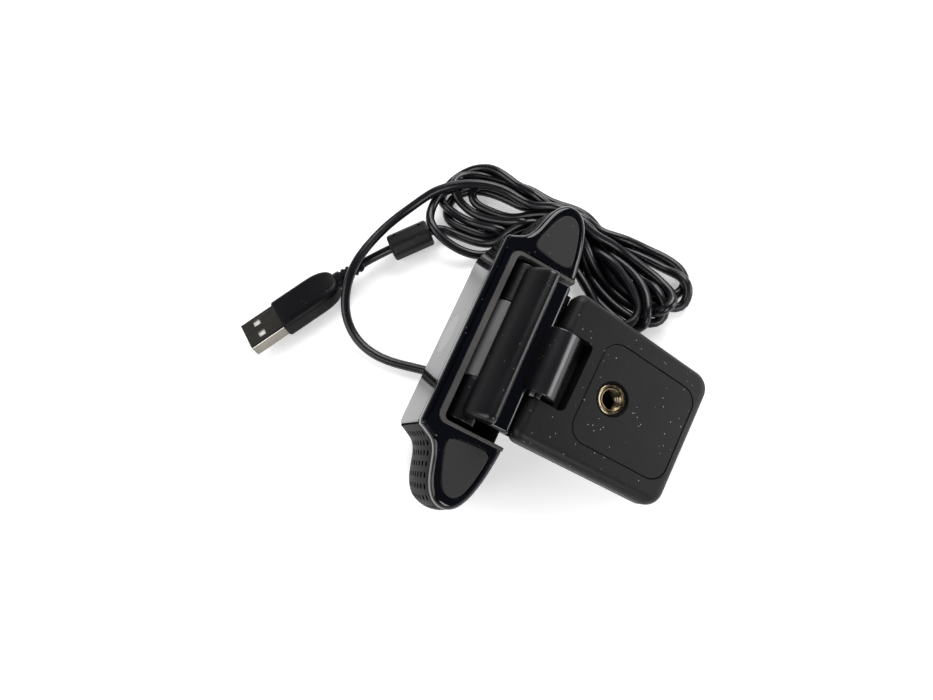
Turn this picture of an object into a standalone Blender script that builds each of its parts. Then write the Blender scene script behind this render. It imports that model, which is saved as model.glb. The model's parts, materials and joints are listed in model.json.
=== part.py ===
# Clip-on webcam with a folding foot, lying upside down on its top face and
# leaning back until the end of the folded foot meets the table.
# All lengths below are millimetres in the "body frame": X along the camera,
# Y from the front panel to the rear, Z from the camera's top face (0) to its
# underside.  REST turns that frame into the world (metres, +Z up).
import bpy
import bmesh
import math
from mathutils import Matrix, Vector

MM = 0.001

# ---------------------------------------------------------------- dimensions
BODY_H = 29.3            # top face to underside rim
FRONT_HALF = 28.4        # half length of the straight front edge
BODY_D = 24.2            # front to rear
LEAN = math.radians(27.8)
EDGE_DROP = 1.0          # rounding lost at the top rear edge
SKIN = 1.5               # outer skin thickness
GAP = 0.3                # assembly gap between neighbours
CAP_T = 3.5              # top cap thickness
BEZEL_T = 3.3            # underside bezel thickness
BULGE = 1.0              # outward swell of the cheeks at mid height
# ear outline, right half, front corner to rear (X, Y)
EAR = [(29.6, 0.5), (30.7, 2.8), (32.4, 5.4), (35.0, 6.9), (38.3, 7.9),
       (41.6, 9.0), (44.4, 10.5), (46.4, 12.5), (47.1, 14.8), (46.7, 17.1),
       (45.0, 19.2), (42.0, 20.9), (38.4, 22.1), (34.4, 23.0), (29.0, 23.8)]
PAD = [(29.6, 9.8), (28.8, 14.5), (28.8, 19.2), (30.3, 21.0), (34.2, 20.6),
       (38.4, 19.7), (41.9, 18.4), (43.7, 16.3), (43.4, 13.8), (41.2, 11.9),
       (37.2, 10.2), (32.8, 8.9), (30.7, 8.8)]
PAD_T = 1.2
# hinge well in the underside
WELL_X = 26.9
WELL_Y0 = 3.4
WELL_Z = 18.5
WELL_R = 3.0
BAND_FRONT = 2.0
BAND_SIDE = 1.2
# tilt hinge between camera and arm
H1_Y = 10.4
H1_Z = 25.0
LUG_R = 4.2
LUG_X0 = 12.1
LUG_X1 = 24.3
MID_R = 4.7
MID_X = 11.7
PIN_R = 1.0
PIN_FIT = 1.09
# arm
ARM_X = 22.8
STEP_X = 22.0
# fold hinge between arm and foot
H2_Y = 25.8
H2_Z = 32.4
KNUCKLE_R = 5.1
KNUCKLE_X = 9.7
SLOT_X = 10.7
SLOT_Y1 = 34.2
# foot
FOOT_Z = 34.9
FOOT_T = 9.5
FOOT_Y0 = 23.4
FOOT_Y1 = 71.2
FOOT_X0 = 23.4
FOOT_X1 = 19.4
FOOT_R = 5.0
SHELL_T = 6.2            # upper shell share of the foot thickness
PANEL_T = 1.2
INSERT_Y = 45.4
INSERT_R = 4.4
INSERT_FLANGE_R = 4.75
INSERT_BORE_R = 2.72     # minor radius of a 1/4 inch 20 per inch thread
INSERT_DEPTH = 5.0
# lens
LENS_Z = 11.0
LENS_R = 5.2
WINDOW_R = 6.2
# cord
CORD_R = 1.5
CORD_Z = 1.6

# ---------------------------------------------------------------- start clean
for ob in list(bpy.data.objects):
    bpy.data.objects.remove(ob, do_unlink=True)
for col in list(bpy.data.collections):
    bpy.data.collections.remove(col)

COL = bpy.data.collections.new("webcam_with_folding_foot")
bpy.context.scene.collection.children.link(COL)
CUT = bpy.data.collections.new("cutters")
bpy.context.scene.collection.children.link(CUT)

PAINT = {}


def paint(name, rgb, rough, metal=0.0, coat=0.0):
    m = bpy.data.materials.new(name)
    m.use_nodes = True
    b = m.node_tree.nodes["Principled BSDF"]
    b.inputs["Base Color"].default_value = (*rgb, 1.0)
    b.inputs["Roughness"].default_value = rough
    b.inputs["Metallic"].default_value = metal
    b.inputs["Coat Weight"].default_value = coat
    PAINT[name] = m
    return name


GLOSS = ((0.006, 0.006, 0.008), 0.12, 0.0, 0.6)
SATIN = ((0.012, 0.012, 0.013), 0.35, 0.0, 0.0)
MATTE = ((0.028, 0.028, 0.030), 0.55, 0.0, 0.0)
GREY = ((0.075, 0.075, 0.075), 0.6, 0.0, 0.0)
RUBBER = ((0.050, 0.049, 0.048), 0.75, 0.0, 0.0)
STEEL = ((0.55, 0.55, 0.56), 0.3, 1.0, 0.0)
BRASS = ((0.55, 0.40, 0.17), 0.35, 1.0, 0.0)
NICKEL = ((0.62, 0.58, 0.50), 0.28, 1.0, 0.0)
BOARD = ((0.02, 0.12, 0.05), 0.5, 0.0, 0.0)
GLASS = ((0.02, 0.02, 0.03), 0.05, 0.0, 1.0)
WHITE = ((0.75, 0.74, 0.70), 0.5, 0.0, 0.0)

# ---------------------------------------------------------------- rest pose
FRONT_Z = (BODY_D - 0.5) * math.sin(LEAN) + BODY_H * math.cos(LEAN) - EDGE_DROP


def rest_matrix():
    c, s = math.cos(LEAN), math.sin(LEAN)
    rot = Matrix(((1, 0, 0, 0), (0, c, s, 0), (0, -s, c, 0), (0, 0, 0, 1)))
    return (Matrix.Translation(Vector((0, 0, FRONT_Z)) * MM)
            @ rot @ Matrix.Translation(Vector((0, 0, -BODY_H)) * MM))


# ---------------------------------------------------------------- helpers
PARTS = {}


def put(name, me, style, axis=None):
    me.name = name
    ob = bpy.data.objects.new(name, me)
    COL.objects.link(ob)
    mat = PAINT.get(name + "_mat")
    if mat is None:
        paint(name + "_mat", *style)
        mat = PAINT[name + "_mat"]
    me.materials.clear()
    me.materials.append(mat)
    PARTS[name] = ob
    ob["axis"] = axis or ""
    return ob


def catmull(pts, per, closed):
    n = len(pts)
    out = []
    last = n if closed else n - 1
    for i in range(last):
        p0 = pts[(i - 1) % n] if closed or i > 0 else pts[0]
        p1 = pts[i]
        p2 = pts[(i + 1) % n]
        p3 = pts[(i + 2) % n] if closed or i + 2 < n else pts[-1]
        for k in range(per):
            t = k / per
            q = []
            for a in range(len(p1)):
                q.append(0.5 * ((2 * p1[a]) + (-p0[a] + p2[a]) * t
                                + (2 * p0[a] - 5 * p1[a] + 4 * p2[a] - p3[a]) * t * t
                                + (-p0[a] + 3 * p1[a] - 3 * p2[a] + p3[a]) * t ** 3))
            out.append(tuple(q))
    if not closed:
        out.append(tuple(pts[-1]))
    return out


def outline():
    """Camera outline, anticlockwise seen from +Z: front edge, +X ear, rear, -X ear."""
    ear = catmull(EAR, 3, False)
    right = [(FRONT_HALF * k / 4.0, 0.0) for k in range(1, 5)] + ear
    rear = [(24.0 - 6.0 * k, BODY_D) for k in range(0, 4)]
    right += rear
    left = [(-x, y) for x, y in reversed(right)]
    return [(0.0, 0.0)] + right + [(0.0, BODY_D)] + left


OUT = outline()
NOUT = len(OUT)


def offset_point(i, t):
    p = Vector(OUT[i])
    a = Vector(OUT[(i - 1) % NOUT])
    b = Vector(OUT[(i + 1) % NOUT])
    d1 = (p - a).normalized()
    d2 = (b - p).normalized()
    d = (d1 + d2).normalized()
    k = max(0.6, d.dot(d1))
    n = Vector((-d.y, d.x))
    return p + n * (t / k)


def ring_clean(t):
    pts = []
    dense = []
    for i in range(NOUT):
        a = Vector(OUT[i])
        b = Vector(OUT[(i + 1) % NOUT])
        for k in range(6):
            dense.append(a + (b - a) * (k / 6.0))
    for i in range(NOUT):
        q = offset_point(i, t)
        if min((q - d).length for d in dense) >= abs(t) * 0.985 - 0.02:
            pts.append((q.x, q.y))
    return pts


def prism(loops, z0, z1):
    """Flat outline (first loop outer, others holes) pulled straight from z0 to z1."""
    me = loft([[(x, y, z) for x, y in loops[0]] for z in (z0, z1)])
    for lp in loops[1:]:
        hole = loft([[(x, y, z) for x, y in lp] for z in (z0 - 1.0, z1 + 1.0)])
        me = cut(me, hole)
    return me


def loft(sections, close=True):
    """Closed solid through equal-length point rings (lists of 3D mm points)."""
    bm = bmesh.new()
    rings = [[bm.verts.new(Vector(p) * MM) for p in sec] for sec in sections]
    n = len(rings[0])
    for a, b in zip(rings, rings[1:]):
        for i in range(n):
            j = (i + 1) % n
            bm.faces.new((a[i], a[j], b[j], b[i]))
    bm.faces.new(list(reversed(rings[0])))
    bm.faces.new(rings[-1])
    bmesh.ops.recalc_face_normals(bm, faces=bm.faces)
    me = bpy.data.meshes.new("loft")
    bm.to_mesh(me)
    bm.free()
    return me


def box(x0, x1, y0, y1, z0, z1):
    bm = bmesh.new()
    bmesh.ops.create_cube(bm, size=1.0)
    for v in bm.verts:
        v.co = Vector(((x0 + x1) / 2 + v.co.x * (x1 - x0),
                       (y0 + y1) / 2 + v.co.y * (y1 - y0),
                       (z0 + z1) / 2 + v.co.z * (z1 - z0))) * MM
    me = bpy.data.meshes.new("box")
    bm.to_mesh(me)
    bm.free()
    return me


def turned(profile, steps, axis, centre):
    """Ring or disc turned about an axis; profile is (radius, height) pairs."""
    bm = bmesh.new()
    rings = []
    for k in range(steps):
        a = 2 * math.pi * k / steps
        rings.append([bm.verts.new((r * math.cos(a) * MM, r * math.sin(a) * MM, h * MM))
                      for r, h in profile])
    m = len(profile)
    for k in range(steps):
        a, b = rings[k], rings[(k + 1) % steps]
        for i in range(m - 1):
            bm.faces.new((a[i], b[i], b[i + 1], a[i + 1]))
        if profile[0][0] > 0 and profile[-1][0] > 0 and profile[0] != profile[-1]:
            bm.faces.new((a[m - 1], b[m - 1], b[0], a[0]))
    bmesh.ops.remove_doubles(bm, verts=bm.verts, dist=1e-7)
    bmesh.ops.recalc_face_normals(bm, faces=bm.faces)
    me = bpy.data.meshes.new("turned")
    bm.to_mesh(me)
    bm.free()
    turn = {"X": Matrix.Rotation(math.pi / 2, 4, "Y"),
            "Y": Matrix.Rotation(-math.pi / 2, 4, "X"),
            "Z": Matrix.Identity(4)}[axis]
    me.transform(Matrix.Translation(Vector(centre) * MM) @ turn)
    return me


def rod(r, length, steps, axis, start):
    """Solid round bar from start along +axis."""
    bm = bmesh.new()
    bmesh.ops.create_cone(bm, cap_ends=True, segments=steps, radius1=r * MM,
                          radius2=r * MM, depth=length * MM)
    bmesh.ops.translate(bm, verts=bm.verts, vec=(0, 0, length * 0.5 * MM))
    me = bpy.data.meshes.new("rod")
    bm.to_mesh(me)
    bm.free()
    turn = {"X": Matrix.Rotation(math.pi / 2, 4, "Y"),
            "Y": Matrix.Rotation(-math.pi / 2, 4, "X"),
            "Z": Matrix.Identity(4)}[axis]
    me.transform(Matrix.Translation(Vector(start) * MM) @ turn)
    return me


def circle(cx, cy, r, n, phase=0.5):
    return [(cx + r * math.cos(2 * math.pi * (k + phase) / n),
             cy + r * math.sin(2 * math.pi * (k + phase) / n)) for k in range(n)]


def rounded(corners, r, n):
    """Polygon with every corner rounded by radius r (list or number)."""
    out = []
    m = len(corners)
    for i in range(m):
        p = Vector(corners[i])
        a = (Vector(corners[i - 1]) - p).normalized()
        b = (Vector(corners[(i + 1) % m]) - p).normalized()
        ri = r[i] if isinstance(r, (list, tuple)) else r
        if ri <= 0:
            out.append((p.x, p.y))
            continue
        half = math.acos(max(-1, min(1, a.dot(b)))) / 2
        d = ri / math.tan(half)
        c = p + (a + b).normalized() * (ri / math.sin(half))
        s = p + a * d
        e = p + b * d
        a0 = math.atan2(s.y - c.y, s.x - c.x)
        a1 = math.atan2(e.y - c.y, e.x - c.x)
        da = (a1 - a0 + math.pi) % (2 * math.pi) - math.pi
        for k in range(n + 1):
            t = a0 + da * k / n
            out.append((c.x + ri * math.cos(t), c.y + ri * math.sin(t)))
    return out


def boolean(me, other, op):
    """EXACT boolean of two meshes, returns a new mesh."""
    a = bpy.data.objects.new("a", me)
    b = bpy.data.objects.new("b", other)
    CUT.objects.link(a)
    CUT.objects.link(b)
    b.hide_render = True
    b.display_type = "WIRE"
    md = a.modifiers.new("cut", "BOOLEAN")
    md.object = b
    md.operation = op
    md.solver = "EXACT"
    bpy.context.view_layer.update()
    dg = bpy.context.evaluated_depsgraph_get()
    res = bpy.data.meshes.new_from_object(a.evaluated_get(dg))
    bpy.data.objects.remove(a, do_unlink=True)
    bpy.data.objects.remove(b, do_unlink=True)
    bm = bmesh.new()
    bm.from_mesh(res)
    bmesh.ops.remove_doubles(bm, verts=bm.verts, dist=2e-6)
    bmesh.ops.dissolve_degenerate(bm, edges=bm.edges, dist=2e-6)
    bm.to_mesh(res)
    bm.free()
    return res


def cut(me, *others):
    for o in others:
        me = boolean(me, o, "DIFFERENCE")
    return me


def join(me, *others):
    for o in others:
        me = boolean(me, o, "UNION")
    return me


def bevel_edges(me, pick, width, segs):
    bm = bmesh.new()
    bm.from_mesh(me)
    edges = [e for e in bm.edges if pick(e)]
    bmesh.ops.bevel(bm, geom=edges, offset=width * MM, segments=segs,
                    profile=0.5, affect="EDGES", clamp_overlap=True)
    bmesh.ops.remove_doubles(bm, verts=bm.verts, dist=1e-6)
    bm.to_mesh(me)
    bm.free()
    return me


def side_profile(me):
    """(a, b) drawn in XY becomes (Y, Z) and the pull direction becomes X."""
    me.transform(Matrix(((0, 0, 1, 0), (1, 0, 0, 0), (0, 1, 0, 0), (0, 0, 0, 1))))
    return me


def mirrored(me):
    m2 = me.copy()
    m2.transform(Matrix.Scale(-1, 4, Vector((1, 0, 0))))
    m2.flip_normals()
    return m2


def index_of(x, front):
    best, bi = 1e9, 0
    for i, (px, py) in enumerate(OUT):
        if front is not None and ((py < 12) != front):
            continue
        if abs(px - x) < best:
            best, bi = abs(px - x), i
    return bi


def wall(indices, t_out, t_in, levels, swell):
    """Curved skin piece following the camera outline between two depths."""
    sections = []
    for z in levels:
        u = (z - levels[0]) / (levels[-1] - levels[0])
        b = swell * math.sin(math.pi * u)
        outer = [offset_point(i, t_out - b) for i in indices]
        inner = [offset_point(i, t_in) for i in reversed(indices)]
        sections.append([(p.x, p.y, z) for p in outer + inner])
    return loft(sections)


# ================================================================ camera body
Z_LO = CAP_T + GAP
Z_HI = BODY_H - BEZEL_T - GAP

# top cap: rounded lid over the whole outline
cap_levels = [(0.0, 2.6), (0.35, 1.5), (1.0, 0.7), (1.9, 0.2), (CAP_T, 0.0)]


def inset_limit(i):
    """The small radius at the front corners only takes a small inset."""
    x, y = OUT[i]
    return 0.9 if abs(x) > 27.0 and y < 3.5 else 9.0


cap = loft([[(*offset_point(i, min(t, inset_limit(i))), z) for i in range(NOUT)] for z, t in cap_levels])
# the cap is set back behind the front panel
PANEL_X = FRONT_HALF + 0.3
cap = cut(cap, box(-PANEL_X - GAP, PANEL_X + GAP, -3.0, SKIN + GAP, -2.0, CAP_T + 2.0))
put("top_cap", cap, SATIN)
PANEL_Z0 = 0.8
panel_face = rounded([(-PANEL_X, PANEL_Z0), (PANEL_X, PANEL_Z0),
                      (PANEL_X, Z_HI), (-PANEL_X, Z_HI)], [5.0, 5.0, 1.0, 1.0], 6)
panel = prism([panel_face, circle(0, LENS_Z, WINDOW_R + GAP, 40)], -SKIN, 0.0)
panel.transform(Matrix.Rotation(math.pi / 2, 4, "X"))
put("front_panel", panel, GLOSS)

levels = [Z_LO, 7.5, 11.5, 15.5, 19.5, 23.0, Z_HI]
i_front_r = index_of(FRONT_HALF, True)
i_c0 = i_front_r + 2
i_c1 = min(range(NOUT), key=lambda i: (OUT[i][0] - 44.6) ** 2 + (OUT[i][1] - 19.6) ** 2)
cheek_idx = list(range(i_c0, i_c1 + 1))
cheek = wall(cheek_idx, 0.0, SKIN, levels, BULGE)

# slots of the grille: rows along the height, columns along the wall
SLOT_ROWS = 6
SLOT_COLS = 9
SLOT_W = 0.9
SLOT_H = 1.8
slot_bm = bmesh.new()
arc = [0.0]
for a, b in zip(cheek_idx, cheek_idx[1:]):
    arc.append(arc[-1] + (Vector(OUT[b]) - Vector(OUT[a])).length)
for c in range(SLOT_COLS):
    s = arc[-1] * (c + 1.0) / (SLOT_COLS + 1.0)
    k = max(i for i in range(len(arc) - 1) if arc[i] <= s)
    f = (s - arc[k]) / (arc[k + 1] - arc[k])
    a, b = Vector(OUT[cheek_idx[k]]), Vector(OUT[cheek_idx[k + 1]])
    p = a + (b - a) * f
    d = (b - a).normalized()
    n = Vector((-d.y, d.x))
    for r in range(SLOT_ROWS):
        z = Z_LO + (Z_HI - Z_LO) * (r + 0.9) / (SLOT_ROWS + 0.8)
        vs = []
        for sx in (-1, 1):
            for sy in (-1, 1):
                for sz in (-1, 1):
                    q = p + d * (sx * SLOT_W / 2) + n * (0.4 + sy * 2.2)
                    vs.append(slot_bm.verts.new(Vector((q.x, q.y, z + sz * SLOT_H / 2)) * MM))
        for quad in ((0, 1, 3, 2), (4, 6, 7, 5), (0, 4, 5, 1), (2, 3, 7, 6), (0, 2, 6, 4), (1, 5, 7, 3)):
            slot_bm.faces.new([vs[i] for i in quad])
bmesh.ops.recalc_face_normals(slot_bm, faces=slot_bm.faces)
slots = bpy.data.meshes.new("slots")
slot_bm.to_mesh(slots)
slot_bm.free()
cheek = cut(cheek, slots)
put("cheek_grille_a", cheek, GREY)
put("cheek_grille_b", mirrored(cheek), GREY)

rear_idx = list(range(i_c1 + 1, NOUT - i_c1))
rear = wall(rear_idx, 0.0, SKIN, [Z_LO, Z_HI], 0.0)
WELL_CUT = (-WELL_X - 0.4, WELL_X + 0.4, WELL_Y0 - 0.3, 40.0, WELL_Z - 0.3, 40.0)
rear = cut(rear, box(*WELL_CUT))
put("rear_cover", rear, SATIN)

frame = prism([ring_clean(SKIN + 0.35), ring_clean(SKIN + 1.6)], Z_LO, Z_HI)
frame = cut(frame, box(*WELL_CUT), rod(WINDOW_R + 0.1, 8.0, 32, "Y", (0, -2.0, LENS_Z)))
put("inner_frame", frame, MATTE)

# ---------------------------------------------------------------- underside bezel
bez_z0 = BODY_H - BEZEL_T
bez_levels = [(bez_z0, 0.0), (BODY_H - 0.8, 0.0), (BODY_H - 0.25, 0.25), (BODY_H, 0.8)]
bezel = loft([[(*offset_point(i, t), z) for i in range(NOUT)] for z, t in bez_levels])
well_plan = rounded([(-WELL_X - GAP, WELL_Y0 - GAP), (WELL_X + GAP, WELL_Y0 - GAP),
                     (WELL_X + GAP, 40.0), (-WELL_X - GAP, 40.0)], [WELL_R, WELL_R, 0, 0], 6)
bezel = cut(bezel, prism([well_plan], bez_z0 - 2.0, BODY_H + 2.0))
pad_plan = catmull(PAD, 3, True)


def grow(loop, t):
    out = []
    n = len(loop)
    area = sum(loop[i][0] * loop[(i + 1) % n][1] - loop[(i + 1) % n][0] * loop[i][1] for i in range(n))
    sgn = 1.0 if area > 0 else -1.0
    for i in range(n):
        a, p, b = Vector(loop[i - 1]), Vector(loop[i]), Vector(loop[(i + 1) % n])
        d = ((p - a).normalized() + (b - p).normalized()).normalized()
        q = p + Vector((d.y, -d.x)) * t * sgn
        out.append((q.x, q.y))
    return out


pocket = prism([grow(pad_plan, 0.3)], BODY_H - PAD_T, BODY_H + 2.0)
bezel = cut(bezel, pocket, mirrored(pocket))
put("underside_bezel", bezel, GLOSS)
pad = prism([pad_plan], BODY_H - PAD_T + 0.1, BODY_H + 0.1)
put("ear_pad_a", pad, RUBBER)
put("ear_pad_b", mirrored(pad), RUBBER)

# ---------------------------------------------------------------- hinge well
tray_out = rounded([(-WELL_X, WELL_Y0), (WELL_X, WELL_Y0), (WELL_X, 24.0), (-WELL_X, 24.0)],
                   [WELL_R, WELL_R, 0, 0], 6)
tray_in = rounded([(-WELL_X + BAND_SIDE, WELL_Y0 + BAND_FRONT), (WELL_X - BAND_SIDE, WELL_Y0 + BAND_FRONT),
                   (WELL_X - BAND_SIDE, 30.0), (-WELL_X + BAND_SIDE, 30.0)], [1.6, 1.6, 0, 0], 4)
FLOOR_Z = WELL_Z + 1.2
tray = cut(prism([tray_out], WELL_Z, BODY_H - 0.3), prism([tray_in], FLOOR_Z, BODY_H + 3.0))
put("hinge_well_tray", tray, GREY)

lug_loop = [(H1_Y - LUG_R, FLOOR_Z + 0.1), (H1_Y + LUG_R, FLOOR_Z + 0.1)]
for k in range(0, 21):
    t = math.pi * k / 20.0
    lug_loop.append((H1_Y + LUG_R * math.cos(t), H1_Z + LUG_R * math.sin(t)))
lug = side_profile(prism([lug_loop, circle(H1_Y, H1_Z, PIN_FIT, 24)], LUG_X0, LUG_X1))
put("hinge_lug_a", lug, SATIN)
put("hinge_lug_b", mirrored(lug), SATIN)
put("tilt_hinge_pin", rod(PIN_R, 2 * (LUG_X1 - 0.6), 20, "X", (-LUG_X1 + 0.6, H1_Y, H1_Z)), STEEL)
washer = turned([(PIN_FIT, -0.1), (3.6, -0.1), (3.6, 0.1), (PIN_FIT, 0.1)], 28, "X",
                ((LUG_X0 + MID_X) / 2, H1_Y, H1_Z))
put("friction_washer_a", washer, STEEL)
put("friction_washer_b", mirrored(washer), STEEL)
for tag, sx in (("a", 1), ("b", -1)):
    sc = rod(1.7, 1.0, 24, "Z", (sx * 19.0, 18.4, FLOOR_Z + 0.1))
    sc = cut(sc, box(sx * 19.0 - 1.2, sx * 19.0 + 1.2, 18.15, 18.65, FLOOR_Z + 0.6, FLOOR_Z + 3.0))
    put("tray_screw_" + tag, sc, STEEL)

# ---------------------------------------------------------------- optics and electronics
put("lens_window", rod(WINDOW_R, 1.2, 40, "Y", (0, 0.15, LENS_Z)), GLASS)
put("lens_ring", turned([(4.3, 1.8), (5.9, 1.8), (5.9, 3.3), (4.3, 3.3)], 40, "Y", (0, 0, LENS_Z)), SATIN)
put("lens_barrel", rod(4.8, 7.9, 32, "Y", (0, 3.6, LENS_Z)), SATIN)
put("image_sensor", box(-4.5, 4.5, 11.8, 12.8, LENS_Z - 4.5, LENS_Z + 4.5), GLASS)
put("main_board", box(-35.5, 35.5, 13.1, 14.3, 5.0, 17.6), BOARD)
for tag, sx in (("a", 1), ("b", -1)):
    put("microphone_" + tag, rod(2.1, 1.9, 24, "Y", (sx * 32.5, 10.9, 11.0)), STEEL)

# ================================================================ arm
ARM_OUT = [(8.8, 30.1), (8.6, 30.9), (9.3, 33.0), (10.7, 35.7), (12.4, 38.2), (13.7, 39.4),
           (15.0, 39.7), (15.9, 39.2), (16.4, 38.1), (16.5, 33.9)]
cover = side_profile(prism([[(16.5, 33.9)] + ARM_OUT[-2::-1] + [(9.9, 30.1), (10.1, 33.9)]], -ARM_X, ARM_X))
put("arm_cover", cover, GLOSS, "H1")
core = side_profile(prism([circle(H1_Y, H1_Z, MID_R, 36), circle(H1_Y, H1_Z, PIN_FIT, 24)], -MID_X, MID_X))
neck = side_profile(prism([[(H1_Y - 0.2, 27.2), (H1_Y + 3.6, 27.2), (H1_Y + 4.2, 31.5), (H1_Y + 0.1, 31.5)]],
                          -MID_X + 0.3, MID_X - 0.3))
step = side_profile(prism([[(10.3, 30.2), (20.8, 30.2), (20.9, 32.8), (20.3, 33.6), (10.4, 33.6)]],
                          -STEP_X, STEP_X))
knuckle = side_profile(prism([circle(H2_Y, H2_Z, KNUCKLE_R, 40), circle(H2_Y, H2_Z, PIN_FIT, 24)],
                             -KNUCKLE_X, KNUCKLE_X))
neck2 = side_profile(prism([[(19.4, 30.7), (23.6, 29.4), (23.9, 34.6), (19.4, 33.1)]],
                           -KNUCKLE_X + 0.3, KNUCKLE_X - 0.3))
core = join(core, neck, step, knuckle, neck2)
put("arm_core", core, SATIN, "H1")

# ================================================================ foot
foot_plan = rounded([(-FOOT_X0, FOOT_Y0), (FOOT_X0, FOOT_Y0), (FOOT_X1, FOOT_Y1), (-FOOT_X1, FOOT_Y1)],
                    [1.6, 1.6, FOOT_R, FOOT_R], 6)
shell_z0 = FOOT_Z - SHELL_T
shell = prism([foot_plan], shell_z0, FOOT_Z)


def on_top(z):
    return lambda e: all(abs(v.co.z - z * MM) < 1e-6 for v in e.verts) and len(e.link_faces) == 2 and \
        any(abs(f.normal.z) < 0.5 for f in e.link_faces)


shell = bevel_edges(shell, on_top(FOOT_Z), 1.4, 3)
panel_plan = rounded([(-15.2, 37.5), (15.2, 37.5), (13.6, 68.6), (-13.6, 68.6)], 5.0, 6)
shell = cut(shell,
            box(-SLOT_X, SLOT_X, FOOT_Y0 - 6.0, SLOT_Y1, shell_z0 - 5.0, FOOT_Z + 5.0),
            rod(PIN_FIT, 34.0, 24, "X", (-17.0, H2_Y, H2_Z)),
            prism([grow(panel_plan, 0.3)], FOOT_Z - PANEL_T - 0.1, FOOT_Z + 3.0),
            rod(INSERT_R + 0.3, 9.0, 40, "Z", (0, INSERT_Y, FOOT_Z - INSERT_DEPTH - 0.3)))
put("foot_shell", shell, MATTE, "H2")
panel2 = prism([panel_plan, circle(0, INSERT_Y, INSERT_FLANGE_R + 0.3, 40)], FOOT_Z - PANEL_T + 0.2, FOOT_Z)
put("foot_inset_panel", panel2, MATTE, "H2")
put("thread_insert", turned([(INSERT_BORE_R, -INSERT_DEPTH), (INSERT_R, -INSERT_DEPTH), (INSERT_R, -0.85),
                             (INSERT_FLANGE_R, -0.85), (INSERT_FLANGE_R, -0.15), (INSERT_BORE_R + 0.5, -0.15),
                             (INSERT_BORE_R, -0.65)], 40, "Z", (0, INSERT_Y, FOOT_Z)), BRASS, "H2")
under_plan = rounded([(-FOOT_X0 + 0.7, FOOT_Y0 + 4.0), (FOOT_X0 - 0.7, FOOT_Y0 + 4.0),
                      (FOOT_X1 - 0.2, FOOT_Y1 - 0.2), (-FOOT_X1 + 0.2, FOOT_Y1 - 0.2)], [1.6, 1.6, FOOT_R, FOOT_R], 6)
under = prism([under_plan], FOOT_Z - FOOT_T, shell_z0 - 0.2)
under = bevel_edges(under, on_top(FOOT_Z - FOOT_T), 1.1, 3)
under = cut(under, box(-SLOT_X, SLOT_X, FOOT_Y0 - 6.0, SLOT_Y1, 0.0, FOOT_Z + 5.0))
put("foot_grip_pad", under, RUBBER, "H2")
put("fold_hinge_pin", rod(PIN_R, 33.0, 20, "X", (-16.5, H2_Y, H2_Z)), STEEL, "H2")

# ================================================================ put everything at rest
REST = rest_matrix()
for ob in PARTS.values():
    ob.data.transform(REST)

# cord gland: a round boot leaving the rear of the top face almost level with the table
GLAND_FACE = Vector((9.0, -4.2, 3.4))
GLAND_DIR = Vector((0.0, 8.6, 1.1)).normalized()
GLAND_L = 9.6
GLAND_R = 2.3
to_gland = GLAND_DIR.to_track_quat("Z", "Y").to_matrix().to_4x4()


def gland_rod(r, length, back, n):
    me = rod(r, length, n, "Z", (0, 0, 0))
    me.transform(Matrix.Translation((GLAND_FACE + GLAND_DIR * back) * MM) @ to_gland)
    return me


cap_ob = PARTS["top_cap"]
style = cap_ob.data.materials[0]
cap_ob.data = cut(cap_ob.data, gland_rod(GLAND_R + 0.3, 30.0, -4.0, 28))
cap_ob.data.name = "top_cap"
cap_ob.data.materials.clear()
cap_ob.data.materials.append(style)
put("cord_gland", gland_rod(GLAND_R, GLAND_L, 0.0, 28), SATIN)

# centre the box of everything but the cord on the origin
ys = [v.co.y for ob in PARTS.values() for v in ob.data.vertices]
zs = [v.co.z for ob in PARTS.values() for v in ob.data.vertices]
SHIFT = Vector((0.0, -(min(ys) + max(ys)) / 2, -min(zs)))
for ob in PARTS.values():
    ob.data.transform(Matrix.Translation(SHIFT))


# ================================================================ cord, in the table frame (mm)
def tube(name, pts, r, style, per=6, sides=2):
    cu = bpy.data.curves.new(name, "CURVE")
    cu.dimensions = "3D"
    cu.bevel_depth = r * MM
    cu.bevel_resolution = sides
    cu.use_fill_caps = True
    sp = cu.splines.new("POLY")
    path = catmull(pts, per, False)
    sp.points.add(len(path) - 1)
    for k, p in enumerate(path):
        sp.points[k].co = (p[0] * MM + SHIFT.x, p[1] * MM + SHIFT.y, p[2] * MM + SHIFT.z, 1.0)
    ob = bpy.data.objects.new(name, cu)
    CUT.objects.link(ob)
    bpy.context.view_layer.update()
    me = bpy.data.meshes.new_from_object(ob)
    bpy.data.objects.remove(ob, do_unlink=True)
    bpy.data.curves.remove(cu)
    bm = bmesh.new()
    bm.from_mesh(me)
    bmesh.ops.remove_doubles(bm, verts=bm.verts, dist=1e-6)
    bmesh.ops.recalc_face_normals(bm, faces=bm.faces)
    bm.to_mesh(me)
    bm.free()
    return put(name, me, style)


def on_table(me):
    me.transform(Matrix.Translation(SHIFT))
    return me


G0 = GLAND_FACE - GLAND_DIR * 0.3
G1 = GLAND_FACE - GLAND_DIR * 3.5
EXIT_ROUTE = [tuple(G0), (G1.x + 0.1, G1.y, 2.9), (9.15, -12.0, 2.0), (9.3, -16.6, CORD_Z), (10.0, -21.0, CORD_Z),
              (10.7, -27.9, CORD_Z), (10.5, -33.0, 1.8), (9.4, -38.4, 2.3), (6.8, -43.2, 3.4),
              (3.2, -47.0, 4.8), (-0.9, -49.2, 6.4), (-5.8, -50.4, 8.0), (-9.8, -50.9, 9.3),
              (-14.7, -50.9, 9.8), (-18.9, -50.4, 9.5), (-24.5, -49.4, 8.4), (-30.7, -47.8, 7.3),
              (-35.4, -45.8, 6.4), (-39.8, -43.2, 6.0), (-43.3, -40.6, 6.0), (-45.8, -38.0, 6.0)]
tube("cord_body_run", EXIT_ROUTE, CORD_R, SATIN, per=3)

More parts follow.
